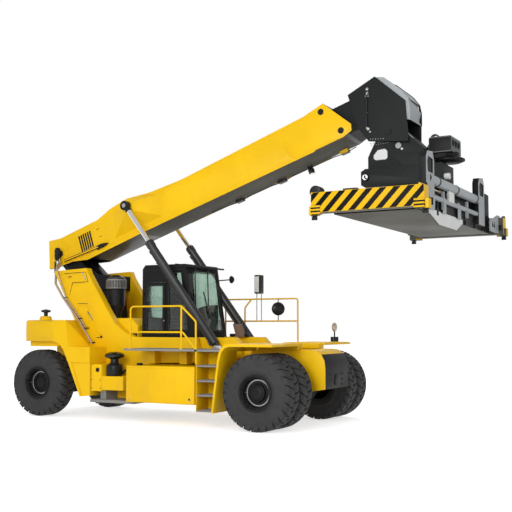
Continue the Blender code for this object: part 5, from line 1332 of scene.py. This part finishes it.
@dataclass
class Spreader(Group):
    """The turning spreader: carriage, frame, telescopic ends and locks."""

    low: float = 4.45
    top: float = 4.85
    lock_y: float = 2.9265
    lock_x: float = 1.1295
    face: float = 0.86

    @property
    def frame(self) -> Matrix:
        """From the spreader's axes to the model's."""
        return self.axes.spreader

    def build(self) -> None:
        """Dress every part of the spreader."""
        self.dress("side_shift_carriage", (Look.DARK,), bevel=0.006)

        def skin(centre: Vector, normal: Vector) -> int:
            """Grey below, white lips in front, light posts and brackets, black elsewhere."""
            if normal.z < -0.7 and centre.z < self.low + 0.05:
                return 1
            if centre.x > 0.85 and normal.x > 0.5 and centre.z < self.low + 0.04:
                return 3
            post = centre.z > self.top + 0.03 and (normal.x > 0.5 or abs(centre.y + 0.25) < 1.5)
            bracket = centre.x > 0.875 and centre.z < self.top + 0.03 and abs(centre.y + 0.5) < 0.7
            return 0 if centre.x > 0.8 and centre.y < 1.9 and (post or bracket) else 2

        self.dress("spreader_frame", (Look.LIGHT, Look.UNDER, Look.IRON, Look.WHITE), skin, 0.006)
        self._front(1)
        self._front(-1)
        self._valves()
        for side, word in SIDES:
            self._end(side, word)

    def _front(self, hand: int) -> None:
        """Seams and bolts along one long side, and the front's tubes, clamps and plates."""
        solid = self.solid("frame_side_" + ("front" if hand > 0 else "rear"), Look.IRON)
        near, far = self.face - 0.002, self.face + 0.012
        for y in (-2.5, -1.4, 0.6, 1.35, 2.0):
            solid.prism([(y - 0.05, self.low + 0.01), (y + 0.05, self.low + 0.01), (y + 0.05, self.top - 0.01),
                         (y - 0.05, self.top - 0.01)], "X", *pair(hand, near, far + 0.01), 0.005)
        for z in ((self.top - 0.04, self.top - 0.004), (self.low + 0.11, self.low + 0.14)):
            solid.box(pair(hand, near, far), (-2.59, 2.59), z, 0.003)
        solid.bolt_row(12, (hand * far, -0.85, self.top - 0.022), (0.0, 0.12, 0.0), (float(hand), 0.0, 0.0), 0.009)
        if hand > 0:
            solid.box((0.74, 0.78), (-1.88, 1.38), (self.top - 0.01, 5.07), 0.005)
            solid.paint(Look.LIGHT)
            solid.rod((0.9, -1.86, 4.79), (0.9, 1.36, 4.79), 0.05, 20)
            for y in (-1.2, 0.5):
                solid.box((0.89, 0.957), span(y, 0.022), (4.6, 4.96), 0.008)
            solid.paint(Look.WHITE).box((0.9, 0.955), (-0.86, -0.5), (4.8, 5.02), 0.008)
            solid.paint(Look.PIPE)
            solid.rod((0.87, -1.84, 4.95), (0.87, -1.3, 4.95), 0.022, 12)
            solid.rod((0.87, -1.3, 4.95), (0.87, -1.18, 4.95), 0.034, 6)
            solid.paint(Look.IRON)
            for y in (-2.1, 1.6):
                solid.prism([(y - 0.139, 5.221), (y + 0.159, 5.221), (y + 0.169, 5.5), (y - 0.1, 5.529),
                             (y - 0.169, 5.42)], "X", 0.84, 0.945, 0.002)
            for y in (-1.55, -0.3, 1.2):
                solid.rod((0.89, y, 5.12), (0.89, y + 0.05, 5.12), 0.108, 24)
        solid.finish("spreader")

    def _valves(self) -> None:
        """Valve blocks, boxes and cross tubes on the frame."""
        solid = self.solid("spreader_valves", Look.BLACK)
        top = self.top
        solid.box((0.52, 0.88), (2.02, 2.43), (5.345, 5.37), 0.01)
        for x, y, height, bevel in (((-0.75, -0.5), (1.75, 2.2), 0.2, 0.015), ((-0.35, 0.35), (2.2, 2.35), 0.1, 0.01),
                                    ((-0.8, -0.5), (-2.3, -1.8), 0.16, 0.015)):
            solid.box(x, y, (top - 0.001, top + height), bevel)
        solid.paint(Look.STEEL)
        for x in (-0.28, -0.14, 0.0, 0.14, 0.28):
            solid.rod((x, 2.27, top + 0.09), (x, 2.27, top + 0.15), 0.022, 12)
        solid.paint(Look.LIGHT)
        for y in (-2.45, 2.52):
            solid.rod((-0.8, y, top + 0.03), (0.8, y, top + 0.03), 0.03, 16)
        solid.finish("spreader")

    def _end(self, side: int, word: str) -> None:
        """One striped end beam with its corners, fittings and locks."""
        def skin(centre: Vector, normal: Vector) -> int:
            """Light cheek plates, grey below and inside, a black guard, dark arms, a yellow beam."""
            cheek = centre.x > 1.1 and normal.x > 0.5 and centre.z > self.low + 0.15
            if cheek or (centre.x > 0.985 and abs(centre.y) < 2.78):
                return 2
            if normal.z < -0.6 or (side * normal.y < -0.5 and abs(centre.y) > 2.65):
                return 4
            if centre.z > self.top - 0.095 and centre.x < -0.9:
                return 3
            return 1 if abs(centre.y) < 2.79 else 0

        self.dress("end_beam_" + word, (Look.YELLOW, Look.DARK, Look.LIGHT, Look.BLACK, Look.UNDER), skin, 0.006)
        y = side * self.lock_y
        out = self.lock_y + 0.13
        solid = self.solid("end_stripes_" + word, Look.SLANT)
        solid.box((-1.146, 1.146), pair(side, out - 0.002, out + 0.002), (self.low + 0.005, self.top - 0.005), 0.001)
        solid.finish("end_" + word)
        solid = self.solid("end_corners_" + word, Look.LEVEL)
        for hand in (-1, 1):
            solid.box(pair(hand, 0.95, 1.152), pair(side, out - 0.1, out + 0.012),
                      (self.low - 0.036, self.low + 0.14))
        solid.finish("end_" + word)
        solid = self.solid("end_detail_" + word, Look.IRON)
        for near in (2.2, 2.35):
            solid.box((1.039, 1.044), pair(side, near, near + 0.09), (self.low + 0.12, self.low + 0.2), 0.002)
            solid.box((1.039, 1.044), pair(side, near + 0.03, near + 0.06), (self.low + 0.2, self.low + 0.26), 0.002)
        for x in (-self.lock_x, self.lock_x):
            solid.lathe(hoop(0.034, 0.062, 0.0, -0.02), (x, y, self.low - 0.04), UP, 24)
            solid.rod((x, y, self.top - 0.002), (x, y, self.top + 0.04), 0.04, 20)
            solid.box(span(x, 0.04), pair(side, self.lock_y - 0.35, self.lock_y - 0.31),
                      (self.low + 0.06, self.low + 0.2), 0.006)
        solid.paint(Look.BLACK)
        reach, inner = self.lock_x - 0.1, side * (self.lock_y - 0.2)
        solid.rod((-reach, inner, self.top - 0.06), (reach, inner, self.top - 0.06), 0.022, 16)
        port = (-self.lock_x + 0.06, side * (self.lock_y + 0.098), self.top + 0.02)
        solid.disc([(0.05, 0.0), (0.05, 0.008)], port, outward(side), 24)
        solid.finish("end_" + word, slot="iron")
        for hand in ("front", "rear"):
            self.dress(f"twistlock_{word}_{hand}", (Look.IRON,), bevel=0.003)


@dataclass
class Chassis(Group):
    """The frame, counterweight, power pack, tanks, boxes and fenders."""

    tower_out: float = 1.0
    weight_top: float = 2.4
    body_half: float = 1.65
    cap_spot: tuple[float, float] = (-6.54, -1.35)
    tank: tuple[float, float, float, float] = (-3.52, -1.64, 0.5, 1.34)
    tank_half: float = 1.95

    def build(self) -> None:
        """Dress the chassis and all that is fixed to it."""
        def skin(centre: Vector, normal: Vector) -> int:
            """Grey below, black on the nose and between the towers, steel pins, yellow elsewhere."""
            if normal.z < -0.8 and centre.z < 1.3:
                return 1
            if centre.x > 0.85 and normal.x > 0.5:
                return 3
            if -7.3 < centre.x < -4.9 and centre.z > 1.75 and abs(centre.y) < 0.79:
                return 3
            return 2 if abs(centre.y) > 1.02 and centre.x > -1.8 else 0

        self.dress("chassis_frame", (Look.YELLOW, Look.UNDER, Look.STEEL, Look.IRON), skin, 0.006)
        cap_x, cap_y = self.cap_spot

        def weight(centre: Vector, normal: Vector) -> int:
            """Black for the cap on its yellow stand."""
            near = hypot(centre.x - cap_x, centre.y - cap_y) < 0.2
            return int(near and centre.z > self.weight_top + 0.11)

        self.dress("counterweight", (Look.YELLOW, Look.BLACK), weight, 0.07)
        self.dress("engine_hood", (Look.YELLOW,), bevel=0.006)
        self.dress("engine_block", (Look.IRON,), bevel=0.02)
        for side, word in SIDES:
            self.dress("service_box_" + word, (Look.YELLOW, Look.TREAD),
                       lambda c, n: int(c.z < 0.69 or c.x > -3.76), 0.006)
            self.dress("tank_" + word, (Look.YELLOW,), bevel=0.006)
            self.dress("fender_" + word, (Look.YELLOW, Look.BLACK, Look.PIPE),
                       lambda c, n: int(c.z > 1.87) + int(c.z > 2.05), 0.006)
            self.dress("knuckle_" + word, (Look.IRON,), bevel=0.006)
            self._tank(side, word)
            self._box(side, word)
            self._weight(side, word)
        self.dress("drive_axle", (Look.IRON,), bevel=0.008)
        self.dress("steer_axle", (Look.IRON,), bevel=0.008)
        self._hood()
        self._cleaners()
        self._pipes()
        self._panels()
        self._nose()

    def _tank(self, side: int, word: str) -> None:
        """Seams, cap, plug and bolts of a tank."""
        rear, front, low, high = self.tank
        out = self.tank_half
        solid = self.solid("tank_detail_" + word, Look.YELLOW)
        face = pair(side, out - 0.001, out + 0.003)
        for z in ((high - 0.055, high - 0.04), (low + 0.04, low + 0.052)):
            solid.box((rear + 0.03, front - 0.03), face, z, 0.002)
        for x in (rear + 0.62, front - 0.5):
            solid.box(span(x, 0.004), face, (low + 0.06, high - 0.06), 0.001)
        solid.paint(Look.BLACK)
        spot = (rear + 0.25, side * (out - 0.2), high - 0.001)
        solid.disc([(0.07, 0.0), (0.07, 0.045), (0.06, 0.055)], spot, UP, 24)
        spot = (front - 0.12, side * (out + 0.001), low + 0.12)
        solid.disc([(0.022, 0.0), (0.022, 0.012)], spot, outward(side), 20)
        solid.paint(Look.STEEL)
        solid.bolt_row(2, (rear + 0.1, side * (out + 0.0005), low + 0.09), (1.68, 0.0, 0.0), outward(side), 0.01)
        solid.finish("chassis")

    def _box(self, side: int, word: str) -> None:
        """The port, bolts and hose of a service box."""
        solid = self.solid("box_detail_" + word, Look.BLACK)
        face = self.body_half - 0.01
        out = outward(side)
        solid.disc([(0.05, 0.0), (0.054, 0.01), (0.045, 0.025), (0.028, 0.027), (0.024, 0.016)],
                   (-4.6, side * (face - 0.001), 1.2), out, 32)
        for x in (-4.78, -4.52):
            solid.bolt_row(2, (x, side * (face - 0.0005), 0.76), (0.0, 0.0, 0.2), out, 0.009)
        solid.paint(Look.HOSE)
        solid.tube([(-4.2, side * 1.3, 1.06), (-4.0, side * 1.3, 1.2), (-3.9, side * 1.2, 1.25),
                    (-3.7, side * 1.08, 1.22)], 0.028, 0.1)
        solid.finish("chassis")

    def _weight(self, side: int, word: str) -> None:
        """Lamps and a seam on one side of the counterweight."""
        solid = self.solid("weight_detail_" + word, Look.YELLOW)
        half = self.body_half
        solid.box((-5.5, -4.9), pair(side, half - 0.026, half - 0.022), (1.338, 1.35), 0.001)
        solid.paint(Look.BLACK)
        solid.box((-7.115, -7.09), pair(side, 1.0, 1.3), (2.05, 2.2), 0.01)
        for look, near in ((Look.RED_LENS, 1.16), (Look.AMBER_LENS, 1.02)):
            solid.paint(look).box((-7.125, -7.11), pair(side, near, near + 0.12), (2.07, 2.18), 0.004)
        solid.finish("chassis")

    def _hood(self) -> None:
        """Seams, vents and the exhaust on the engine hood."""
        solid = self.solid("hood_detail", Look.YELLOW)
        for side, _ in SIDES:
            for x in (-5.18, -4.72, -4.26):
                solid.box((x, x + 0.012), pair(side, 0.789, 0.793), (1.76, 2.38), 0.001)
        solid.paint(Look.BLACK)
        for side, _ in SIDES:
            solid.box((-5.15, -4.06), pair(side, 0.789, 0.797), (1.985, 2.07), 0.003)
            for number in range(7):
                z = 2.11 + 0.035 * number
                solid.box((-5.1, -4.8), pair(side, 0.789, 0.796), (z, z + 0.016), 0.002)
        for number in range(12):
            x = -4.75 + 0.04 * number
            solid.box((x, x + 0.02), (-0.35, 0.35), (2.449, 2.456), 0.002)
        solid.rod((-4.62, 0.45, 2.44), (-4.62, 0.45, 2.95), 0.05, 24, 0.006)
        solid.finish("chassis")

    def _cleaners(self) -> None:
        """The ribbed air cleaner and the mushroom precleaner."""
        cleaner, bowl = (-4.96, -0.5, 0.0), (-4.28, -1.4, 0.0)
        solid = self.solid("air_cleaner_ribbed", Look.BLACK)
        profile = [(0.0, 2.452), (0.125, 2.452), (0.125, 2.53), (0.2, 2.72), (0.228, 2.77)]
        for number in range(8):
            z = 2.78 + 0.05 * number
            profile += [(0.232, z), (0.235, z + 0.006), (0.235, z + 0.022), (0.228, z + 0.028)]
        profile += [(0.232, 3.17), (0.258, 3.2), (0.26, 3.28), (0.26, 3.4), (0.22, 3.48), (0.1, 3.545), (0.0, 3.549)]
        solid.lathe(profile, cleaner, UP, 48)
        solid.paint(Look.TREAD)
        rib = self.solid("rib", Look.TREAD)
        rib.box((0.256, 0.2618), (-0.008, 0.008), (3.2, 3.4), 0.002)
        solid.repeat(rib, 40, turn=(0.0, 0.0, 2 * pi / 40), matrix=Matrix.Translation(cleaner))
        solid.lathe([(0.2, 3.18), (0.2585, 3.2), (0.2585, 3.41), (0.21, 3.49), (0.2, 3.48)], cleaner, UP, 48)
        solid.paint(Look.LIGHT).rod((-5.03, -0.53, 3.5), (-5.03, -0.53, 3.545), 0.05, 20)
        solid.finish("chassis", slot="iron", replaces=("air_cleaner",))
        solid = self.solid("precleaner_bowl", Look.BLACK)
        base = 1.0505
        solid.disc([(0.188, base), (0.194, base + 0.01), (0.194, base + 0.235), (0.185, base + 0.26),
                    (0.16, base + 0.285), (0.118, base + 0.3), (0.1, base + 0.34), (0.1, base + 0.42)], bowl, UP, 40)
        for number in range(5):
            z = base + 0.04 + 0.045 * number
            solid.lathe([(0.193, z), (0.1949, z + 0.003), (0.1949, z + 0.012), (0.193, z + 0.015)], bowl, UP, 40)
        solid.paint(Look.GLASS)
        solid.lathe([(0.05, base + 0.42), (0.2, base + 0.43), (0.238, base + 0.455), (0.244, base + 0.49),
                     (0.225, base + 0.53), (0.17, base + 0.56), (0.1, base + 0.577),
                     (0.05, base + 0.58)], bowl, UP, 40)
        solid.paint(Look.IRON)
        solid.lathe([(0.0, base + 0.41), (0.12, base + 0.41), (0.2, base + 0.45), (0.21, base + 0.49),
                     (0.16, base + 0.535), (0.08, base + 0.56), (0.0, base + 0.565)], bowl, UP, 40)
        solid.finish("chassis", slot="iron", replaces=("precleaner",))

    def _pipes(self) -> None:
        """The oil pipes down the tower with their clamps and swivel."""
        solid = self.solid("tower_pipe_run", Look.PIPE)
        x, z = -6.85, 4.17
        start = 0.5053
        y = -(start + 0.1)
        out = -(self.tower_out + 0.05)
        solid.tube([(x, y, z - 0.1), (x, y, 3.86), (-6.72, -0.8, 3.62), (-6.5, out, 3.34), (-6.24, out, 2.98),
                    (-5.75, out, 2.44), (-5.27, out, 1.81)], 0.03, 0.09, 16)
        solid.tube([(x + 0.05, y, z - 0.1), (x + 0.09, y, 3.9), (-6.5, -0.92, 3.76), (-6.46, out, 3.7),
                    (-6.37, out, 3.48), (-6.14, out, 2.98), (-5.66, out, 2.44), (-5.46, out, 2.18)], 0.018, 0.07, 12)
        solid.paint(Look.DARK)
        solid.rod((x, -start, z), (x, y, z), 0.06, 24)
        solid.lathe([(0.0, -0.2), (0.05, -0.19), (0.075, -0.14), (0.075, 0.1), (0.05, 0.15), (0.0, 0.16)],
                    (x, y, z), UP, 32)
        for ring in (-0.08, 0.04):
            solid.lathe(hoop(0.074, 0.086, ring, ring + 0.03), (x, y, z), UP, 6)
        solid.rod((x - 0.06, y, 3.96), (x - 0.06, y, 3.66), 0.032, 16)
        solid.paint(Look.STEEL)
        for level in (3.95, 3.8):
            solid.rod((x + 0.01, y, level), (x + 0.01, y, level - 0.05), 0.048, 20)
        solid.paint(Look.BLACK)
        across = pair(-1, self.tower_out + 0.0005, self.tower_out + 0.07)
        for cx, cz in ((-6.2, 2.98), (-5.7, 2.44), (-5.48, 2.2), (-5.28, 1.84)):
            solid.box(span(cx, 0.075), across, span(cz, 0.012))
        solid.finish("chassis", slot="iron", replaces=("tower_pipes",))

    def _panels(self) -> None:
        """The panel lines and latches on the towers' outer faces, and painted highlight lines along the panel edges."""
        lines = (((-6.25, 3.6), (-5.56, 3.62), (-5.47, 3.37), (-5.98, 3.355), (-6.07, 3.04)),
                 ((-5.8, 2.82), (-5.476, 2.818)), ((-5.472, 2.62), (-5.05, 2.02)))
        for side, word in SIDES:
            y = side * self.tower_out
            solid = self.solid("tower_lines_" + word, Look.DARK)
            for line in lines:
                solid.rods([(x, y, z) for x, z in line], 0.007, 6, 0.0)
            solid.rod((-5.02, y - side * 0.005, 1.98), (-5.02, y + side * 0.012, 1.98), 0.034, 14)
            across = pair(side, self.tower_out - 0.002, self.tower_out + 0.004)
            for x, z in ((-6.12, 3.5), (-5.17, 1.95)):
                solid.box((x, x + 0.1), across, (z, z + 0.02), 0.002)
            # Light grey lines: painted highlights along the edges of the inset panels.
            solid.paint(Look.LIGHT)
            y += side * 0.003
            solid.rod((-5.67, y, 3.62), (-5.53, y, 3.4), 0.011, 6, 0.0)
            solid.rod((-5.43, y, 2.6), (-5.3, y, 2.42), 0.009, 6, 0.0)
            solid.finish("chassis")

    def _nose(self) -> None:
        """The tow plate and bolts on the nose, and what stands on the deck."""
        solid = self.solid("nose_detail", Look.IRON)
        solid.prism([(-0.12, 0.92), (0.12, 0.92), (0.12, 1.1), (0.08, 1.16), (-0.08, 1.16), (-0.12, 1.1)], "X",
                    0.949, 0.965, 0.006)
        for y in (-0.3, 0.3):
            solid.bolt_row(3, (0.9505, y, 0.92), (0.0, 0.0, 0.12), AHEAD, 0.014)
        solid.paint(Look.BROWN)
        solid.prism([(-1.95, 1.981), (-1.74, 1.981), (-1.86, 2.3), (-2.05, 2.3)], "Y", 0.42, 0.58, 0.01)
        solid.paint(Look.BLACK)
        for x, y in ((-2.28, 0.66), (-1.78, 0.5)):
            solid.box((x, x + 0.12), (y, y + 0.12), (1.979, 2.06), 0.015)
        solid.finish("chassis", slot="black_paint")


@dataclass
class Cab(Group):
    """The black cab with seals, wipers, door and what is inside."""

    half: float = 0.75
    floor: float = 1.945
    door_rear: float = -3.88
    door_front: float = -3.25
    crown: float = 0.3

    def build(self) -> None:
        """Dress the cab and fit it out."""
        self.dress("cab_shell", (Look.IRON,), bevel=0.008)
        self.dress("cab_door", (Look.IRON,), bevel=0.005)
        for name in ("front", "rear", "right", "left", "door"):
            self.dress("glass_" + name, (Look.GLASS,), bevel=0.001)
        self._outside()
        self._door()
        self._console()
        self._seat()

    def _windshield(self, z: float, ahead: float) -> float:
        """The x of the sloped windshield at a height, some way before it."""
        low, high, bottom, top = 2.12, 3.58, -2.457, -2.705
        return bottom + (top - bottom) * (z - low) / (high - low) + ahead

    def _outside(self) -> None:
        """Rubber seals, wipers, gutters, grilles and hoses."""
        solid = self.solid("cab_outside", Look.RUBBER)
        corners = ((2.14, -0.65), (2.14, 0.65), (3.56, 0.65), (3.56, -0.65), (2.14, -0.65))
        solid.rods([(self._windshield(z, 0.004), y, z) for z, y in corners], 0.012)
        for side, rear in ((-1, -3.16), (1, -3.81)):
            y = side * (self.half - 0.008)
            ring = ((rear, 2.16), (-2.61, 2.16), (-2.81, 3.54), (rear, 3.54), (rear, 2.16))
            solid.rods([(x, y, z) for x, z in ring], 0.01)
        solid.paint(Look.BLACK)
        top, foot, swing = 3.6, 2.75, -0.2
        for y in (-0.34, 0.24):
            solid.box((-2.74, -2.66), span(y, 0.05), (3.58, 3.68), 0.012)
            solid.rod((self._windshield(top, 0.035), y, top),
                      (self._windshield(foot, 0.045), y + swing, foot), 0.015, 8)
            high, low = foot + 0.35, foot - 0.33
            solid.rod((self._windshield(high, 0.022), y + swing * 1.5, high),
                      (self._windshield(low, 0.022), y + swing * 0.8, low), 0.016, 8)
        for side in (-1, 1):
            solid.box((-3.95, -2.75), pair(side, self.half - 0.01, self.half + 0.006), (3.6, 3.63))
        for z in (1.99, 2.04):
            solid.box((-3.1, -2.55), span(-self.half, 0.004), (z, z + 0.012), 0.002)
        solid.paint(Look.HOSE)
        for number in range(3):
            x = -2.62 + 0.05 * number
            solid.tube([(x, 0.62, 1.74), (x + 0.06, 0.66, 1.95), (x - 0.02, 0.7, 2.2), (x - 0.06, 0.7, 2.42)],
                       0.014, 0.1, 8)
        solid.finish("chassis")

    def _door(self) -> None:
        """The door's seal, handle and lock."""
        rear, front = self.door_rear, self.door_front
        y = -self.half - 0.0195
        solid = self.solid("door_detail", Look.RUBBER)
        left, right = rear + 0.08, front - 0.08
        window = ((left, 2.15), (right, 2.15), (right, 3.23), (left, 3.23), (left, 2.15))
        solid.rods([(x, y + 0.006, z) for x, z in window], 0.008)
        solid.paint(Look.BLACK)
        solid.tube([(front - 0.04, y, 2.5), (front - 0.04, y - 0.035, 2.5), (front - 0.04, y - 0.035, 2.78),
                    (front - 0.04, y, 2.78)], 0.009, 0.02, 8)
        solid.paint(Look.STEEL)
        solid.rod((front - 0.035, y - 0.012, 2.38), (front - 0.035, y, 2.38), 0.016, 16)
        solid.finish("cab_door")

    def _console(self) -> None:
        """The steering column, wheel, console and screens."""
        solid = self.solid("console_column", Look.BLACK)
        solid.prism([(-2.85, self.floor + 0.001), (-2.62, self.floor + 0.001), (-2.62, 2.42), (-2.7, 2.5),
                     (-2.85, 2.46)], "Y", -0.28, 0.28, 0.02)
        solid.rod((-2.8, 0.0, 2.45), (-2.975, 0.0, 2.673), 0.028, 20)
        hub = Vector((-2.98, 0.0, 2.68))
        tilt = radians(-38)
        axis = Vector((sin(tilt), 0.0, cos(tilt)))
        along = Vector((cos(tilt), 0.0, -sin(tilt)))
        ring = [(0.183 + 0.0135 * cos(radians(a)), 0.0135 * sin(radians(a))) for a in range(0, 360, 30)]
        solid.lathe(ring, hub, axis, 48)
        solid.disc([(0.045, -0.012), (0.045, 0.008), (0.035, 0.014)], hub, axis, 24)
        for turn in (90, 210, 330):
            spoke = Matrix.Rotation(radians(turn), 3, axis) @ along
            solid.rod(hub + spoke * 0.03, hub + spoke * 0.178, 0.01, 8)
        solid.rod(hub + along * 0.18, hub + along * 0.18 + axis * -0.01, 0.012, 8)
        solid.box((-2.78, -2.74), (0.34, 0.58), (2.5, 2.68), 0.012)
        solid.rod((-2.76, 0.46, 2.3), (-2.76, 0.46, 2.52), 0.014, 12)
        solid.box((-3.62, -3.2), (-0.42, -0.3), (2.42, 2.5), 0.02)
        solid.rod((-3.28, -0.36, 2.49), (-3.24, -0.36, 2.62), 0.012, 12)
        solid.rod((-3.245, -0.36, 2.6), (-3.235, -0.36, 2.68), 0.024, 16, 0.01)
        solid.rod((-3.45, -0.36, 2.0), (-3.45, -0.36, 2.43), 0.03, 12)
        solid.rod((-2.76, 0.46, self.floor), (-2.76, 0.46, 2.32), 0.02, 12)
        solid.box((-3.84, -2.66), (0.58, 0.66), (self.floor + 0.001, 2.78), 0.02)
        solid.paint(Look.GLASS).box((-2.783, -2.779), (0.36, 0.56), (2.52, 2.66), 0.001)
        solid.finish("chassis", slot="iron", replaces=("console_and_wheel",))

    def _pad(self, name: str, x: Point, y: Point, z: Point) -> Solid:
        """A crowned cushion with rounded sides, piped along its edge.

        Args:
            name: The cushion's name.
            x: Its limits along X.
            y: Its limits along Y.
            z: Its limits along Z.

        Returns:
            The cushion.
        """
        size = Vector((x[1] - x[0], y[1] - y[0], z[1] - z[0])) / 2
        middle = Vector((x[0] + x[1], y[0] + y[1], z[0] + z[1])) / 2
        bm = bmesh.new()
        bmesh.ops.create_cube(bm, size=2.0)
        bmesh.ops.subdivide_edges(bm, edges=bm.edges, cuts=9, use_grid_fill=True)
        thin = min(range(3), key=lambda i: size[i])
        for vert in bm.verts:
            place = vert.co.copy()
            others = [place[i] for i in range(3) if i != thin]
            bulge = (1 - others[0] ** 2) * (1 - others[1] ** 2)
            pull = 1 - 0.1 * (others[0] * others[1]) ** 2
            seam = 0.05 if abs(abs(others[0]) - 0.6) < 0.08 or abs(abs(others[1]) - 0.6) < 0.08 else 0.0
            for i in range(3):
                if i == thin:
                    edge = (1 - max(abs(others[0]), abs(others[1])) ** 6) * 0.25 + 0.75 - self.crown
                    vert.co[i] = place[i] * size[i] * min(1.0, edge + self.crown * bulge - seam * abs(place[i]))
                else:
                    vert.co[i] = place[i] * size[i] * pull * (1 - 0.04 * place[thin] ** 2)
        bmesh.ops.recalc_face_normals(bm, faces=bm.faces)
        mesh = bpy.data.meshes.new(name)
        bm.to_mesh(mesh)
        bm.free()
        return self.solid(name, Look.CLOTH).add(mesh, Matrix.Translation(middle))

    def _seat(self) -> None:
        """The operator's seat: a cushion, a back and a head rest on a base."""
        base = self.solid("seat_base", Look.BLACK)
        base.box((-3.65, -3.35), (-0.15, 0.15), (self.floor + 0.001, 2.2), 0.02)
        base.box((-3.74, -3.17), (-0.24, 0.24), (2.2, 2.245), 0.015)
        base.prism([(-3.838, 2.3), (-3.8, 2.3), (-3.82, 2.95), (-3.845, 2.95)], "Y", -0.2, 0.2, 0.01)
        base.finish("chassis", slot="black_paint", replaces=("operator_seat",))
        for name, x, y, z in (("seat_cushion", (-3.74, -3.16), (-0.26, 0.26), (2.24, 2.4)),
                              ("seat_back", (-3.81, -3.69), (-0.24, 0.24), (2.36, 2.88)),
                              ("seat_head", (-3.82, -3.72), (-0.15, 0.15), (2.87, 3.05))):
            self._pad(name, x, y, z).finish("chassis", slot="seat", smooth=80.0)


@dataclass
class Hoses(Group):
    """The free hoses, each a smooth curve through a few points."""

    def _hose(self, name: str, path: Sequence[Point], radius: float, body: str) -> None:
        """One hose, a smooth curve through its points.

        Args:
            name: The hose's name.
            path: The points that it passes, in the vehicle's axes.
            radius: Half its diameter.
            body: The body that carries it.
        """
        knots = [self.frame @ Vector(p) for p in path]
        ends = [knots[0] * 2 - knots[1]] + knots + [knots[-1] * 2 - knots[-2]]
        line: list[Vector] = []
        for a, b, c, d in zip(ends, ends[1:], ends[2:], ends[3:]):
            for step in range(8):
                t = step / 8
                cubic = (3 * b - a - 3 * c + d) * t ** 3
                line.append(0.5 * (2 * b + (c - a) * t + (2 * a - 5 * b + 4 * c - d) * t ** 2 + cubic))
        line.append(knots[-1])
        curve = bpy.data.curves.new(name, "CURVE")
        curve.dimensions = "3D"
        curve.bevel_depth = radius
        curve.bevel_resolution = 3
        curve.use_fill_caps = True
        spline = curve.splines.new("POLY")
        spline.points.add(len(line) - 1)
        for point, place in zip(spline.points, line):
            point.co = (*place, 1.0)
        curve.materials.append(Look.HOSE.material())
        hose = bpy.data.objects.new(name, curve)
        bpy.context.scene.collection.objects.link(hose)
        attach(hose, body)

    def build(self) -> None:
        """Make the hoses."""
        for side, word in SIDES:
            y = side * 0.478
            low = y + side * 0.008
            path = [(1.93, y, 7.365), (1.93, y, 7.2), (1.925, low, 7.0), (1.925, low, 6.85), (1.93, y, 6.645)]
            self._hose("head_hose_" + word, path, 0.014, "inner_boom")


def main() -> None:
    """Build the reach stacker's looks on its frame."""
    logging.basicConfig(level=logging.INFO, format="%(message)s")
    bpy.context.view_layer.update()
    nodes = frame["nodes"]
    wheel = next(j for j in frame["joints"] if j["name"] == "front_wheel_right")
    axes = Axes(middle=wheel["pos_m"][0])
    Studio().build(axes)
    TREES["tube"] = tube_tree()
    TREES["repeat"] = repeat_tree()
    for group in (Hoses, Wheels, Walkways, LiftCylinders, Chassis, Cab, Boom, Head, Spreader):
        group(axes, nodes).build()


if __name__ == "__main__":
    main()
